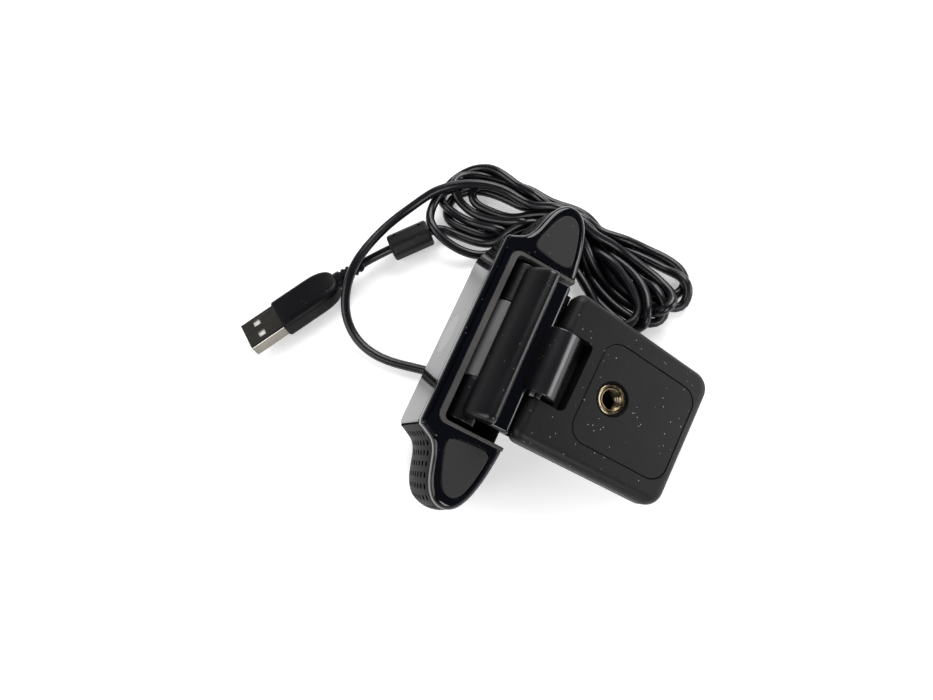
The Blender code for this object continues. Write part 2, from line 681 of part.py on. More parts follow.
HANK = [(-50.2, -38.0), (-56.0, -38.8), (-62.0, -38.2), (-65.6, -34.0), (-66.6, -27.0), (-65.0, -17.0), (-61.5, -6.0),
        (-59.6, 4.0), (-59.2, 13.0), (-59.8, 24.0), (-59.0, 35.0), (-55.0, 44.0), (-48.5, 50.5),
        (-41.0, 52.5), (-34.0, 50.0), (-29.0, 44.5), (-27.4, 38.5), (-30.5, 31.0), (-37.5, 24.5),
        (-45.0, 18.5), (-50.2, 12.0), (-50.6, 2.0), (-48.6, -7.0), (-42.0, -13.6), (-39.7, -18.6),
        (-40.4, -26.0), (-44.5, -33.5)]
HANK_H = 11.5
hank = prism([catmull(HANK, 3, True)], 0.1, HANK_H)
hank = bevel_edges(hank, lambda e: len(e.link_faces) == 2 and any(abs(f.normal.z) > 0.9 for f in e.link_faces)
                   and any(abs(f.normal.z) < 0.5 for f in e.link_faces), 1.8, 3)
put("cord_hank", on_table(hank), SATIN)

# ferrite sleeve
FER_A = Vector((-24.8, -44.3, 4.5))
FER_B = Vector((-35.2, -34.5, 4.5))
FER_R = 4.3
fer_axis = (FER_B - FER_A).normalized()
fer = rod(FER_R, (FER_B - FER_A).length, 28, "Z", (0, 0, 0))
fer = bevel_edges(fer, lambda e: any(len(f.verts) > 6 for f in e.link_faces), 0.7, 2)
fer.transform(Matrix.Translation(FER_A * MM) @ fer_axis.to_track_quat("Z", "Y").to_matrix().to_4x4())
put("ferrite_sleeve", on_table(fer), MATTE)

f0 = FER_B + fer_axis * 0.3
tube("cord_ferrite_run", [tuple(f0), tuple(FER_B + fer_axis * 2.2 + Vector((0.2, 0.4, -0.5))),
                          (-37.2, -28.6, 2.6), (-36.4, -24.0, 1.8), (-37.2, -19.6, CORD_Z)], CORD_R, SATIN, per=4)

# plug: rolled about its length, lying on the edge of its moulding
PLUG_FRONT = Vector((22.4, -74.6, 4.9))
PLUG_REAR = Vector((-7.4, -56.3, 4.9))
PLUG_ROLL = math.radians(-15.0)
plug_dir = (PLUG_REAR - PLUG_FRONT).normalized()
lay = plug_dir.to_track_quat("Z", "X").to_matrix().to_4x4() @ Matrix.Rotation(PLUG_ROLL, 4, "Z")
SHELL_L = 12.0
SHELL_W = 12.0
SHELL_H = 4.5
MOULD_W = 13.4
MOULD_H = 7.0
MOULD_L = (PLUG_REAR - PLUG_FRONT).length - SHELL_L - 0.3


def flat_tube(w, h, r, n):
    return rounded([(-h / 2, -w / 2), (h / 2, -w / 2), (h / 2, w / 2), (-h / 2, w / 2)], r, n)


def plug_piece(me):
    me.transform(Matrix.Translation(PLUG_FRONT * MM) @ lay)
    return on_table(me)


ps = prism([flat_tube(SHELL_W, SHELL_H, 0.7, 3), flat_tube(SHELL_W - 0.7, SHELL_H - 0.7, 0.4, 3)], 0.0, SHELL_L)
for sy in (-1, 1):
    ps = cut(ps, box(0.4, 4.0, sy * 2.6 - 1.1, sy * 2.6 + 1.1, 4.2, 6.6))
put("plug_shell", plug_piece(ps), NICKEL)
put("plug_tongue", plug_piece(box(-1.6, 0.1, -5.0, 5.0, 0.6, SHELL_L)), WHITE)
for k in range(4):
    y = -3.5 + k * 7.0 / 3
    put("plug_contact_%d" % (k + 1), plug_piece(box(0.12, 0.32, y - 0.5, y + 0.5, 1.4, 9.5)), BRASS)
pm = prism([flat_tube(MOULD_W, MOULD_H, 1.8, 4)], SHELL_L + 0.3, SHELL_L + 0.3 + MOULD_L)
pm = bevel_edges(pm, lambda e: all(v.co.z > (SHELL_L + 0.2 + MOULD_L) * MM for v in e.verts), 1.5, 3)
put("plug_moulding", plug_piece(pm), SATIN)

# ribbed relief behind the plug
relief_dir = plug_dir
RELIEF_L = 10.4
prof = [(0.0, 0.0), (3.0, 0.0)]
for k in range(4):
    z = 0.9 + k * 2.2
    r = 2.9 - 0.22 * k
    prof += [(r, z), (r - 0.7, z + 0.15), (r - 0.75, z + 0.85), (r - 0.12, z + 1.0)]
prof += [(1.95, RELIEF_L), (0.0, RELIEF_L)]
rel = turned(prof, 24, "Z", (0, 0, 0))
rel.transform(Matrix.Translation((PLUG_REAR + plug_dir * 0.3) * MM)
              @ plug_dir.to_track_quat("Z", "X").to_matrix().to_4x4())
put("plug_relief", on_table(rel), SATIN)
r1 = PLUG_REAR + plug_dir * (0.6 + RELIEF_L)
r2 = PLUG_REAR + plug_dir * (3.2 + RELIEF_L)
g1 = FER_A - fer_axis * 0.3
g2 = FER_A - fer_axis * 3.0
tube("cord_plug_run", [tuple(r1), tuple(r2 - Vector((0, 0, 0.3))), tuple(g2), tuple(g1)], CORD_R, SATIN, per=4)

# ---------------------------------------------------------------- pivots of the moving pieces
AXES = {"H1": REST @ (Vector((0, H1_Y, H1_Z)) * MM) + SHIFT,
        "H2": REST @ (Vector((0, H2_Y, H2_Z)) * MM) + SHIFT}
for name, ob in PARTS.items():
    if ob["axis"]:
        c = AXES[ob["axis"]]
        ob.data.transform(Matrix.Translation(-c))
        ob.location = c
    del ob["axis"]
    for poly in ob.data.polygons:
        poly.use_smooth = True
    ob.data.set_sharp_from_angle(angle=math.radians(32))
    ob.data.update()
for ob in list(CUT.objects):
    ob.hide_render = True
    ob.display_type = "WIRE"
print("AXES", {k: tuple(round(x, 6) for x in v) for k, v in AXES.items()})
print("SHIFT", tuple(round(x, 6) for x in SHIFT))
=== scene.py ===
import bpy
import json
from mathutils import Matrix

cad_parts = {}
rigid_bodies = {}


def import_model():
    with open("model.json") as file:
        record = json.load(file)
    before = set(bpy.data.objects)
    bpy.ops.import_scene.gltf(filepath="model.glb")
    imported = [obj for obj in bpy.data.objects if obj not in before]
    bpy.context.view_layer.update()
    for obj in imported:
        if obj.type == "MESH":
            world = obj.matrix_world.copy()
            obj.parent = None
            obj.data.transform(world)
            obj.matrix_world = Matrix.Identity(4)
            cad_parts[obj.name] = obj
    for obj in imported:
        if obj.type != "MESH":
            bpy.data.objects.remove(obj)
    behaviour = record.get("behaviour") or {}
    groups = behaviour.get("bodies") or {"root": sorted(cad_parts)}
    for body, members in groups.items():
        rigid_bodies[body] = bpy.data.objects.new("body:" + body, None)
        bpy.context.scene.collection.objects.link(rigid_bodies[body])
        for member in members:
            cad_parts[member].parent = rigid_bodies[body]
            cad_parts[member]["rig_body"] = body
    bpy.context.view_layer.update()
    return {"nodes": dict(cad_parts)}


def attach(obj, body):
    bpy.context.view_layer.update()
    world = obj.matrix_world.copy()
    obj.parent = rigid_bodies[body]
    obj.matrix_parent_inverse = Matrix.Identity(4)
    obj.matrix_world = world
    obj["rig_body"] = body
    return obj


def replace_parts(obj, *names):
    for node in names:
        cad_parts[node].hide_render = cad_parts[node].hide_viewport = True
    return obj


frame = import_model()

import json
import math

import bmesh
import bpy
import numpy as np
from mathutils import Matrix, Vector

MM = 0.001
SHIFT = Vector((0.0, -25.905, 0.224))     # table frame to the row frame, mm

# ------------------------------------------------------------------ body frame
# X along the camera, Y front panel to rear, Z top face to underside; the camera
# lies upside down and leans back on its rear top edge.
BODY_D = 24.2
BODY_H = 29.3
LEAN = math.radians(27.8)
FRONT_Z = (BODY_D - 0.5) * math.sin(LEAN) + BODY_H * math.cos(LEAN) - 1.0


def rest_matrix():
    c, s = math.cos(LEAN), math.sin(LEAN)
    rot = Matrix(((1, 0, 0, 0), (0, c, s, 0), (0, -s, c, 0), (0, 0, 0, 1)))
    return (Matrix.Translation(SHIFT * MM) @ Matrix.Translation(Vector((0, 0, FRONT_Z)) * MM)
            @ rot @ Matrix.Translation(Vector((0, 0, -BODY_H)) * MM))


REST = rest_matrix()
COL = bpy.context.scene.collection


# ------------------------------------------------------------------ materials
def new_mat(name):
    m = bpy.data.materials.new(name)
    m.use_nodes = True
    nt = m.node_tree
    return m, nt, nt.nodes["Principled BSDF"]


def finish_mat(name, rgb, rough, metal=0.0, coat=0.0, coat_rough=0.05, spec=0.5,
               mottling=0.12, mottle_scale=60.0, grain=900.0, bump=0.02, bump_dist=0.0002,
               dust=0.0, dust_scale=420.0, rough_var=0.06, dust_rgb=(0.45, 0.44, 0.42),
               streak=None):
    """Plastic, rubber or metal with mottled colour, fine grain, wear in the
    roughness and specks of dust."""
    m, nt, b = new_mat(name)
    n, l = nt.nodes, nt.links
    tc = n.new("ShaderNodeTexCoord")
    mott = n.new("ShaderNodeTexNoise")
    mott.inputs["Scale"].default_value = mottle_scale
    mott.inputs["Detail"].default_value = 5.0
    l.new(tc.outputs["Object"], mott.inputs["Vector"])
    ramp = n.new("ShaderNodeValToRGB")
    ramp.color_ramp.elements[0].position = 0.3
    ramp.color_ramp.elements[1].position = 0.7
    lo = [max(0.0, c * (1 - mottling)) for c in rgb]
    hi = [min(1.0, c * (1 + mottling)) for c in rgb]
    ramp.color_ramp.elements[0].color = (*lo, 1)
    ramp.color_ramp.elements[1].color = (*hi, 1)
    l.new(mott.outputs["Fac"], ramp.inputs["Fac"])
    colour = ramp.outputs["Color"]
    if dust > 0:
        vor = n.new("ShaderNodeTexVoronoi")
        vor.inputs["Scale"].default_value = dust_scale
        vor.inputs["Randomness"].default_value = 1.0
        l.new(tc.outputs["Object"], vor.inputs["Vector"])
        sel = n.new("ShaderNodeTexNoise")
        sel.inputs["Scale"].default_value = dust_scale * 0.31
        sel.inputs["Detail"].default_value = 2.0
        l.new(tc.outputs["Object"], sel.inputs["Vector"])
        speck = n.new("ShaderNodeMath")
        speck.operation = "LESS_THAN"
        speck.inputs[1].default_value = 0.085
        l.new(vor.outputs["Distance"], speck.inputs[0])
        some = n.new("ShaderNodeMath")
        some.operation = "GREATER_THAN"
        some.inputs[1].default_value = 0.47
        l.new(sel.outputs["Fac"], some.inputs[0])
        both = n.new("ShaderNodeMath")
        both.operation = "MULTIPLY"
        l.new(speck.outputs[0], both.inputs[0])
        l.new(some.outputs[0], both.inputs[1])
        amount = n.new("ShaderNodeMath")
        amount.operation = "MULTIPLY"
        amount.inputs[1].default_value = dust
        l.new(both.outputs[0], amount.inputs[0])
        mix = n.new("ShaderNodeMix")
        mix.data_type = "RGBA"
        l.new(amount.outputs[0], mix.inputs["Factor"])
        l.new(colour, mix.inputs["A"])
        mix.inputs["B"].default_value = (*dust_rgb, 1)
        colour = mix.outputs["Result"]
    l.new(colour, b.inputs["Base Color"])
    fine = n.new("ShaderNodeTexNoise")
    fine.inputs["Scale"].default_value = grain
    fine.inputs["Detail"].default_value = 4.0
    if streak:
        mp = n.new("ShaderNodeMapping")
        mp.inputs["Scale"].default_value = streak
        l.new(tc.outputs["Object"], mp.inputs["Vector"])
        l.new(mp.outputs["Vector"], fine.inputs["Vector"])
    else:
        l.new(tc.outputs["Object"], fine.inputs["Vector"])
    rr = n.new("ShaderNodeMapRange")
    rr.inputs["From Min"].default_value = 0.3
    rr.inputs["From Max"].default_value = 0.7
    rr.inputs["To Min"].default_value = max(0.01, rough - rough_var)
    rr.inputs["To Max"].default_value = min(1.0, rough + rough_var)
    l.new(mott.outputs["Fac"], rr.inputs["Value"])
    l.new(rr.outputs["Result"], b.inputs["Roughness"])
    bp = n.new("ShaderNodeBump")
    bp.inputs["Strength"].default_value = bump
    bp.inputs["Distance"].default_value = bump_dist
    l.new(fine.outputs["Fac"], bp.inputs["Height"])
    l.new(bp.outputs["Normal"], b.inputs["Normal"])
    b.inputs["Metallic"].default_value = metal
    b.inputs["Specular IOR Level"].default_value = spec
    b.inputs["Coat Weight"].default_value = coat
    b.inputs["Coat Roughness"].default_value = coat_rough
    return m


GLOSS = finish_mat("gloss_black_plastic", (0.0008, 0.0011, 0.0024), 0.10, mottling=0.25,
                   grain=260, bump=0.015, bump_dist=0.0004, spec=0.36, dust=0.20, dust_scale=500, rough_var=0.03)
STRIP = finish_mat("mirror_black_panel", (0.004, 0.004, 0.005), 0.07, mottling=0.2, spec=0.20,
                   grain=200, bump=0.01, bump_dist=0.0003, dust=0.30, dust_scale=650, rough_var=0.02)
SATIN = finish_mat("satin_black_plastic", (0.0026, 0.0026, 0.0033), 0.30, mottling=0.2,
                   grain=1500, bump=0.10, dust=0.15, rough_var=0.06, spec=0.36)
KNUCK = finish_mat("polished_black_plastic", (0.0060, 0.0062, 0.0075), 0.24, mottling=0.2,
                   grain=900, bump=0.08, dust=0.12, rough_var=0.05, streak=(0.12, 1, 1))
FOOTM = finish_mat("matte_charcoal_plastic", (0.0048, 0.0048, 0.0051), 0.47, mottling=0.10,
                   grain=2400, bump=0.22, dust=0.55, dust_scale=620, rough_var=0.05, spec=0.20)
PANELM = finish_mat("matte_charcoal_panel", (0.0054, 0.0052, 0.0054), 0.50, mottling=0.12,
                    grain=2600, bump=0.25, dust=0.65, dust_scale=600, rough_var=0.05, spec=0.20)
CHEEK = finish_mat("grille_grey_plastic", (0.0022, 0.0021, 0.0021), 0.55, mottling=0.16,
                   grain=1300, bump=0.12, dust=0.15, rough_var=0.08, spec=0.08)
BAND = finish_mat("textured_grey_band", (0.048, 0.046, 0.044), 0.45, mottling=0.25,
                  grain=1700, bump=0.5, dust=0.0, rough_var=0.1)
BARREL = finish_mat("textured_barrel", (0.085, 0.085, 0.087), 0.42, mottling=0.2,
                    grain=2000, bump=0.4, dust=0.10, rough_var=0.08)
PADM = finish_mat("pad_rubber", (0.0150, 0.0144, 0.0148), 0.62, mottling=0.08,
                  grain=3000, bump=0.2, dust=0.18, dust_scale=520, rough_var=0.05, spec=0.28)
CORDM = finish_mat("cord_pvc", (0.0022, 0.0023, 0.0038), 0.30, mottling=0.2,
                   grain=700, bump=0.06, dust=0.10, rough_var=0.06, spec=0.40)
PLUGM = finish_mat("plug_moulding_pvc", (0.0009, 0.0010, 0.0017), 0.42, mottling=0.18,
                   grain=900, bump=0.12, dust=0.12, rough_var=0.08, spec=0.16)
FERM = finish_mat("ferrite_moulding", (0.0040, 0.0039, 0.0042), 0.50, mottling=0.12,
                  grain=1100, bump=0.15, dust=0.14, rough_var=0.08, spec=0.22)
STEEL = finish_mat("machined_steel", (0.50, 0.50, 0.51), 0.28, metal=1.0, mottling=0.12,
                   grain=600, bump=0.08, streak=(1, 1, 9))
BRASS = finish_mat("aged_brass", (0.17, 0.135, 0.085), 0.24, metal=1.0, mottling=0.45, mottle_scale=700,
                   grain=900, bump=0.12, rough_var=0.10)
NICKEL = finish_mat("nickel_shell", (0.21, 0.198, 0.172), 0.13, metal=1.0, mottling=0.15, mottle_scale=160,
                    grain=700, bump=0.05, streak=(1, 8, 1), rough_var=0.03)
GLASS = finish_mat("lens_glass", (0.004, 0.004, 0.006), 0.05, mottling=0.2, bump=0.005,
                   dust=0.1, rough_var=0.02, spec=0.42)
BOARD = finish_mat("circuit_board", (0.012, 0.08, 0.036), 0.45, mottling=0.4, mottle_scale=300,
                   grain=800, bump=0.2)
WHITE = finish_mat("white_insulator", (0.62, 0.61, 0.58), 0.45, mottling=0.08, bump=0.08)
# flat black with almost no sheen: painted shade on the sheets and floors set into gaps and recesses (well floor,
# grille sheet, arm skirts, knuckle web, bore floor), and the black of the insert collar and inner frame
BLACK_AND_SHADE = finish_mat("black_and_painted_shade", (0.0015, 0.0015, 0.0015), 0.6, mottling=0.3, bump=0.03, spec=0.06)

CAD_MAT = {
    "top_cap": SATIN, "front_panel": STRIP, "cheek_grille_a": CHEEK, "cheek_grille_b": CHEEK,
    "rear_cover": GLOSS, "inner_frame": BLACK_AND_SHADE, "underside_bezel": GLOSS,
    "ear_pad_a": PADM, "ear_pad_b": PADM, "hinge_well_tray": BAND,
    "hinge_lug_a": SATIN, "hinge_lug_b": SATIN, "tilt_hinge_pin": STEEL,
    "friction_washer_a": STEEL, "friction_washer_b": STEEL, "tray_screw_a": STEEL,
    "tray_screw_b": STEEL, "lens_window": GLASS, "lens_ring": SATIN, "lens_barrel": SATIN,
    "image_sensor": BOARD, "main_board": BOARD, "microphone_a": STEEL, "microphone_b": STEEL,
    "cord_gland": PLUGM, "cord_body_run": CORDM, "cord_hank": CORDM, "cord_ferrite_run": CORDM,
    "cord_plug_run": CORDM, "ferrite_sleeve": FERM, "plug_shell": NICKEL, "plug_tongue": WHITE,
    "plug_contact_1": BRASS, "plug_contact_2": BRASS, "plug_contact_3": BRASS,
    "plug_contact_4": BRASS, "plug_moulding": PLUGM, "plug_relief": PLUGM,
    "arm_cover": GLOSS, "arm_core": SATIN, "foot_shell": FOOTM, "foot_inset_panel": PANELM,
    "foot_grip_pad": PADM, "thread_insert": BRASS, "fold_hinge_pin": STEEL,
}
for name, ob in frame["nodes"].items():
    ob.data.materials.clear()
    ob.data.materials.append(CAD_MAT[name])


# ------------------------------------------------------------------ helpers
def add(name, me, mat, body="camera", world=False, smooth=None):
    ob = bpy.data.objects.new(name, me)
    COL.objects.link(ob)
    if not world:
        me.transform(REST)
    me.materials.clear()
    me.materials.append(mat)
    if smooth is not None:
        shade(ob, smooth)
    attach(ob, body)
    return ob


def shade(ob, angle):
    me = ob.data
    for p in me.polygons:
        p.use_smooth = len(p.vertices) <= 4 or p.area < 4.0e-6
    bm = bmesh.new()
    bm.from_mesh(me)
    lim = math.radians(angle)
    for e in bm.edges:
        e.smooth = len(e.link_faces) == 2 and e.calc_face_angle(0.0) < lim
    bm.to_mesh(me)
    bm.free()
    wn = ob.modifiers.new("even_normals", "WEIGHTED_NORMAL")
    wn.keep_sharp = True
    wn.weight = 80


def apply_modifiers(ob):
    dg = bpy.context.evaluated_depsgraph_get()
    me = bpy.data.meshes.new_from_object(ob.evaluated_get(dg))
    ob.modifiers.clear()
    ob.data = me
    return me


def refined(node, name, width, mat, segments=3, angle=28, shade_angle=35, flat=1.0):
    """A finer copy of a CAD node with its edges rounded; it stands for the node."""
    src = frame["nodes"][node]
    bm = bmesh.new()
    bm.from_mesh(src.data)
    bmesh.ops.remove_doubles(bm, verts=bm.verts, dist=2e-6)
    bmesh.ops.dissolve_limit(bm, angle_limit=math.radians(flat), use_dissolve_boundaries=False,
                             verts=bm.verts, edges=bm.edges)
    me = bpy.data.meshes.new(name)
    bm.to_mesh(me)
    bm.free()
    ob = bpy.data.objects.new(name, me)
    COL.objects.link(ob)
    mod = ob.modifiers.new("round", "BEVEL")
    mod.width = width * MM
    mod.segments = segments
    mod.limit_method = "ANGLE"
    mod.angle_limit = math.radians(angle)
    mod.use_clamp_overlap = True
    mod.harden_normals = False
    bpy.context.view_layer.update()
    apply_modifiers(ob)
    ob.data.materials.clear()
    ob.data.materials.append(mat)
    shade(ob, shade_angle)
    body = src["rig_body"]
    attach(ob, body)
    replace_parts(ob, node)
    return ob


def catmull(pts, per, closed=False):
    n = len(pts)
    out = []
    last = n if closed else n - 1
    for i in range(last):
        p0 = pts[(i - 1) % n] if closed or i > 0 else pts[0]
        p1 = pts[i]
        p2 = pts[(i + 1) % n]
        p3 = pts[(i + 2) % n] if closed or i + 2 < n else pts[-1]
        for k in range(per):
            t = k / per
            out.append(tuple(0.5 * ((2 * p1[a]) + (-p0[a] + p2[a]) * t
                                    + (2 * p0[a] - 5 * p1[a] + 4 * p2[a] - p3[a]) * t * t
                                    + (-p0[a] + 3 * p1[a] - 3 * p2[a] + p3[a]) * t ** 3)
                             for a in range(len(p1))))
    if not closed:
        out.append(tuple(pts[-1]))
    return out


# ------------------------------------------------------------------ the cord
# Table frame, millimetres.  The cord leaves the gland in front of the camera,
# loops over its own plug, enters the folded hank, makes six turns through two
# lobes, and leaves through the ferrite to the plug.
CORD_R = 1.5
GLAND_FACE = np.array((9.0, -4.2, 3.4))
GLAND_DIR = np.array((0.0, 8.6, 1.1)) / math.hypot(8.6, 1.1)
FER_A = np.array((-24.8, -44.3, 4.5))
FER_B = np.array((-35.2, -34.5, 4.5))
PLUG_FRONT = np.array((22.4, -74.6, 4.9))
PLUG_REAR = np.array((-7.4, -56.3, 4.9))
FER_AXIS = (FER_B - FER_A) / np.linalg.norm(FER_B - FER_A)
PLUG_DIR = (PLUG_REAR - PLUG_FRONT) / np.linalg.norm(PLUG_REAR - PLUG_FRONT)

ROUTE_EXIT = [
    tuple(GLAND_FACE - GLAND_DIR * 0.3), (9.05, -7.6, 2.95), (9.15, -12.0, 2.0),
    (9.3, -16.6, 1.6), (10.0, -21.0, 1.6), (10.7, -27.9, 1.6), (10.5, -33.0, 1.8),
    (9.4, -38.4, 2.3), (6.8, -43.2, 3.4), (3.2, -47.0, 4.8), (-0.9, -49.2, 6.4),
    (-5.8, -50.4, 8.0), (-9.8, -50.9, 9.3), (-14.7, -50.9, 9.8), (-18.9, -50.4, 9.5),
    (-24.5, -49.4, 8.8), (-30.7, -47.8, 8.2), (-35.4, -45.8, 7.8), (-39.8, -43.2, 7.8),
    (-43.6, -40.4, 8.2), (-48.0, -36.6, 8.8), (-51.8, -32.0, 9.4), (-54.0, -26.9, 9.6),
    (-55.3, -21.7, 9.6), (-55.8, -15.1, 9.6), (-55.1, -8.0, 10.0),
]


def waist(x, z):
    """A pass through the waist of the hank, front lobe to rear lobe."""
    return [(x, -1.0, z), (x - 0.3, 5.0, z), (x + 0.4, 11.0, z)]


def back(x, z):
    return list(reversed(waist(x, z)))


LOOPS = [
    # rear lobe, top strand of the pair seen third from outside
    waist(-53.0, 13.2),
    [(-50.4, 17.0, 8.8), (-50.6, 22.7, 8.0), (-50.0, 28.4, 7.4), (-47.6, 33.7, 7.0),
     (-45.3, 39.1, 6.5), (-43.4, 43.7, 6.0), (-41.5, 46.8, 5.6), (-39.3, 48.9, 5.2),
     (-37.2, 49.3, 4.8), (-35.6, 47.8, 4.3), (-35.0, 43.0, 3.2), (-35.6, 36.0, 2.2),
     (-38.4, 28.0, 1.8), (-43.0, 20.0, 3.5), (-47.0, 15.5, 6.0)],
    back(-51.2, 10.6),
    # front lobe
    [(-49.5, -6.0, 7.2), (-49.6, -10.5, 7.0), (-49.8, -16.0, 7.0), (-50.2, -21.2, 7.0),
     (-52.0, -25.6, 6.6), (-54.6, -27.6, 6.0), (-57.2, -25.6, 5.6), (-58.0, -20.0, 5.6),
     (-57.6, -13.0, 6.4), (-57.0, -6.0, 7.6)],
    waist(-56.0, 7.8),
    # rear lobe, outermost
    [(-53.4, 17.0, 6.6), (-54.0, 21.7, 6.0), (-54.6, 26.9, 5.8), (-54.9, 32.5, 5.6),
     (-54.4, 37.8, 5.4), (-53.2, 42.5, 5.0), (-51.6, 45.9, 4.6), (-49.4, 48.5, 4.0),
     (-47.0, 49.7, 3.4), (-44.2, 49.0, 2.6), (-41.8, 45.8, 1.8), (-40.6, 40.0, 1.6),
     (-40.8, 32.0, 1.6), (-43.2, 23.5, 1.8), (-47.2, 16.5, 3.2)],
    back(-50.2, 4.7),
    # front lobe
    [(-46.8, -6.0, 5.6), (-46.0, -11.5, 5.8), (-46.6, -18.6, 6.0), (-48.4, -24.9, 6.0),
     (-49.8, -30.0, 5.8), (-52.4, -33.8, 5.2), (-55.9, -34.8, 4.6), (-59.0, -32.1, 4.2),
     (-61.0, -26.6, 4.0), (-61.2, -20.0, 4.0), (-60.2, -12.5, 4.2), (-59.2, -6.0, 4.6)],
    waist(-58.6, 4.7),
    # rear lobe, second from outside
    [(-54.6, 18.5, 3.0), (-53.4, 26.0, 3.0), (-52.0, 32.4, 3.8), (-51.2, 37.3, 4.2),
     (-50.5, 41.5, 4.4), (-49.4, 45.5, 4.6), (-47.4, 48.9, 4.8), (-44.5, 51.2, 4.8),
     (-41.5, 51.8, 4.6), (-38.8, 50.6, 4.0), (-37.0, 47.0, 2.6), (-37.2, 41.0, 1.6),
     (-38.2, 33.0, 4.6), (-41.8, 25.0, 4.9), (-47.6, 17.0, 2.6)],
    back(-50.4, 1.6),
    # front lobe, the pair on the outside
    [(-46.2, -6.0, 2.8), (-44.5, -10.5, 3.6), (-44.1, -16.4, 4.2), (-44.5, -23.0, 4.4),
     (-44.4, -28.3, 4.6), (-45.0, -32.9, 4.8), (-47.4, -35.8, 5.0), (-51.0, -37.0, 5.4),
     (-55.9, -36.9, 5.8), (-60.0, -35.4, 6.2), (-62.6, -31.9, 6.6), (-63.5, -26.6, 6.9),
     (-62.2, -20.0, 7.2), (-60.2, -12.9, 8.0), (-57.6, -6.5, 9.4)],
    waist(-54.8, 10.8),
    # rear lobe, inner
    [(-53.6, 15.5, 9.0), (-49.0, 19.0, 8.4), (-48.1, 25.4, 7.4), (-46.4, 29.7, 7.0),
     (-44.3, 34.1, 7.0), (-41.2, 37.7, 6.8), (-37.5, 40.8, 6.4), (-34.2, 42.6, 6.0),
     (-30.6, 43.4, 5.2), (-28.2, 41.4, 4.0), (-27.6, 37.0, 2.6), (-29.4, 31.0, 1.8),
     (-34.4, 24.4, 1.6), (-41.0, 17.5, 1.6), (-47.4, 12.8, 1.6)],
    back(-53.4, 1.6),
    # front lobe, bottom layer
    [(-46.5, -7.5, 1.6), (-42.6, -12.1, 1.7), (-42.1, -17.3, 1.9), (-42.1, -23.7, 2.0),
     (-42.6, -28.8, 2.0), (-44.6, -32.6, 2.0), (-48.4, -34.4, 2.0), (-53.0, -33.4, 2.0),
     (-57.0, -29.0, 1.8), (-58.4, -22.0, 1.6), (-58.0, -14.0, 1.6), (-57.6, -7.0, 1.6)],
    waist(-59.2, 1.6),
    # rear lobe, low
    [(-52.0, 17.0, 1.6), (-49.6, 25.0, 2.2), (-45.8, 34.0, 3.2), (-42.3, 40.1, 3.4),
     (-39.5, 43.5, 3.4), (-36.5, 46.3, 3.2), (-34.0, 47.2, 3.0), (-31.6, 46.0, 2.6),
     (-30.6, 42.5, 2.0), (-31.4, 37.0, 1.6), (-34.4, 30.0, 1.6), (-38.6, 23.0, 1.6),
     (-44.0, 17.0, 4.4)],
    back(-53.2, 7.8),
    # front lobe, wide loop standing over the ferrite's end
    [(-46.0, -6.0, 4.4), (-37.6, -10.5, 4.2), (-33.9, -16.4, 5.6), (-33.0, -21.4, 7.4),
     (-33.3, -26.2, 8.8), (-34.8, -30.9, 9.6), (-37.6, -35.2, 9.6), (-41.4, -37.3, 8.4),
     (-46.2, -36.4, 6.4), (-51.0, -34.6, 4.0), (-56.0, -32.6, 2.9), (-59.4, -26.2, 2.6),
     (-60.0, -19.8, 2.6), (-59.0, -12.0, 3.2), (-57.2, -6.0, 4.4)],
    waist(-56.0, 4.7),
    # rear lobe, innermost on top
    [(-51.0, 15.0, 7.6), (-46.4, 19.0, 8.0), (-44.7, 23.6, 7.6), (-43.4, 28.0, 7.0),
     (-40.6, 31.8, 6.6), (-37.2, 35.5, 6.2), (-33.6, 38.7, 5.8), (-30.3, 40.0, 5.2),
     (-27.4, 38.8, 4.6), (-26.9, 35.6, 3.8), (-28.6, 30.5, 3.0), (-32.5, 25.0, 2.6),
     (-38.0, 18.6, 2.6), (-44.6, 12.8, 3.0)],
    back(-50.2, 7.8),
]
FER_RUN = [(-46.6, -6.0, 5.0), (-41.8, -10.6, 2.8), (-39.2, -15.5, 1.8), (-38.6, -22.2, 1.7),
           (-38.9, -27.4, 2.1), (-38.6, -30.4, 3.0),
           tuple(FER_B + FER_AXIS * 1.6), tuple(FER_B - FER_AXIS * 1.0),
           tuple((FER_A + FER_B) / 2), tuple(FER_A + FER_AXIS * 1.0),
           tuple(FER_A - FER_AXIS * 1.6)]
PLUG_RUN = [tuple(PLUG_REAR + PLUG_DIR * 13.6 + np.array((0, 0, -0.3))),
            tuple(PLUG_REAR + PLUG_DIR * 11.0), tuple(PLUG_REAR + PLUG_DIR * 5.0),
            tuple(PLUG_REAR + PLUG_DIR * 0.4)]
CONTROL = list(ROUTE_EXIT)
for part in LOOPS:
    CONTROL += part
N_HANK_END = len(CONTROL)
CONTROL += FER_RUN + PLUG_RUN


def resample(p, step):
    seg = np.linalg.norm(np.diff(p, axis=0), axis=1)
    s = np.concatenate([[0], np.cumsum(seg)])
    n = max(2, int(round(s[-1] / step)))
    t = np.linspace(0, s[-1], n + 1)
    return np.stack([np.interp(t, s, p[:, k]) for k in range(3)], 1), s[-1]


# camera body as an obstacle: its outline in plan, leaning
def catmull2(pts, per):
    return [(p[0], p[1]) for p in catmull(pts, per)]


EAR = [(29.6, 0.5), (30.7, 2.8), (32.4, 5.4), (35.0, 6.9), (38.3, 7.9),
       (41.6, 9.0), (44.4, 10.5), (46.4, 12.5), (47.1, 14.8), (46.7, 17.1),
       (45.0, 19.2), (42.0, 20.9), (38.4, 22.1), (34.4, 23.0), (29.0, 23.8)]
HALF = [(-28.4, 0.0)] + [(-x, y) for x, y in EAR] + [(-24.0, BODY_D)]
HALF = [(0.0, 0.0)] + HALF + [(0.0, BODY_D)]
COS, SIN = math.cos(LEAN), math.sin(LEAN)


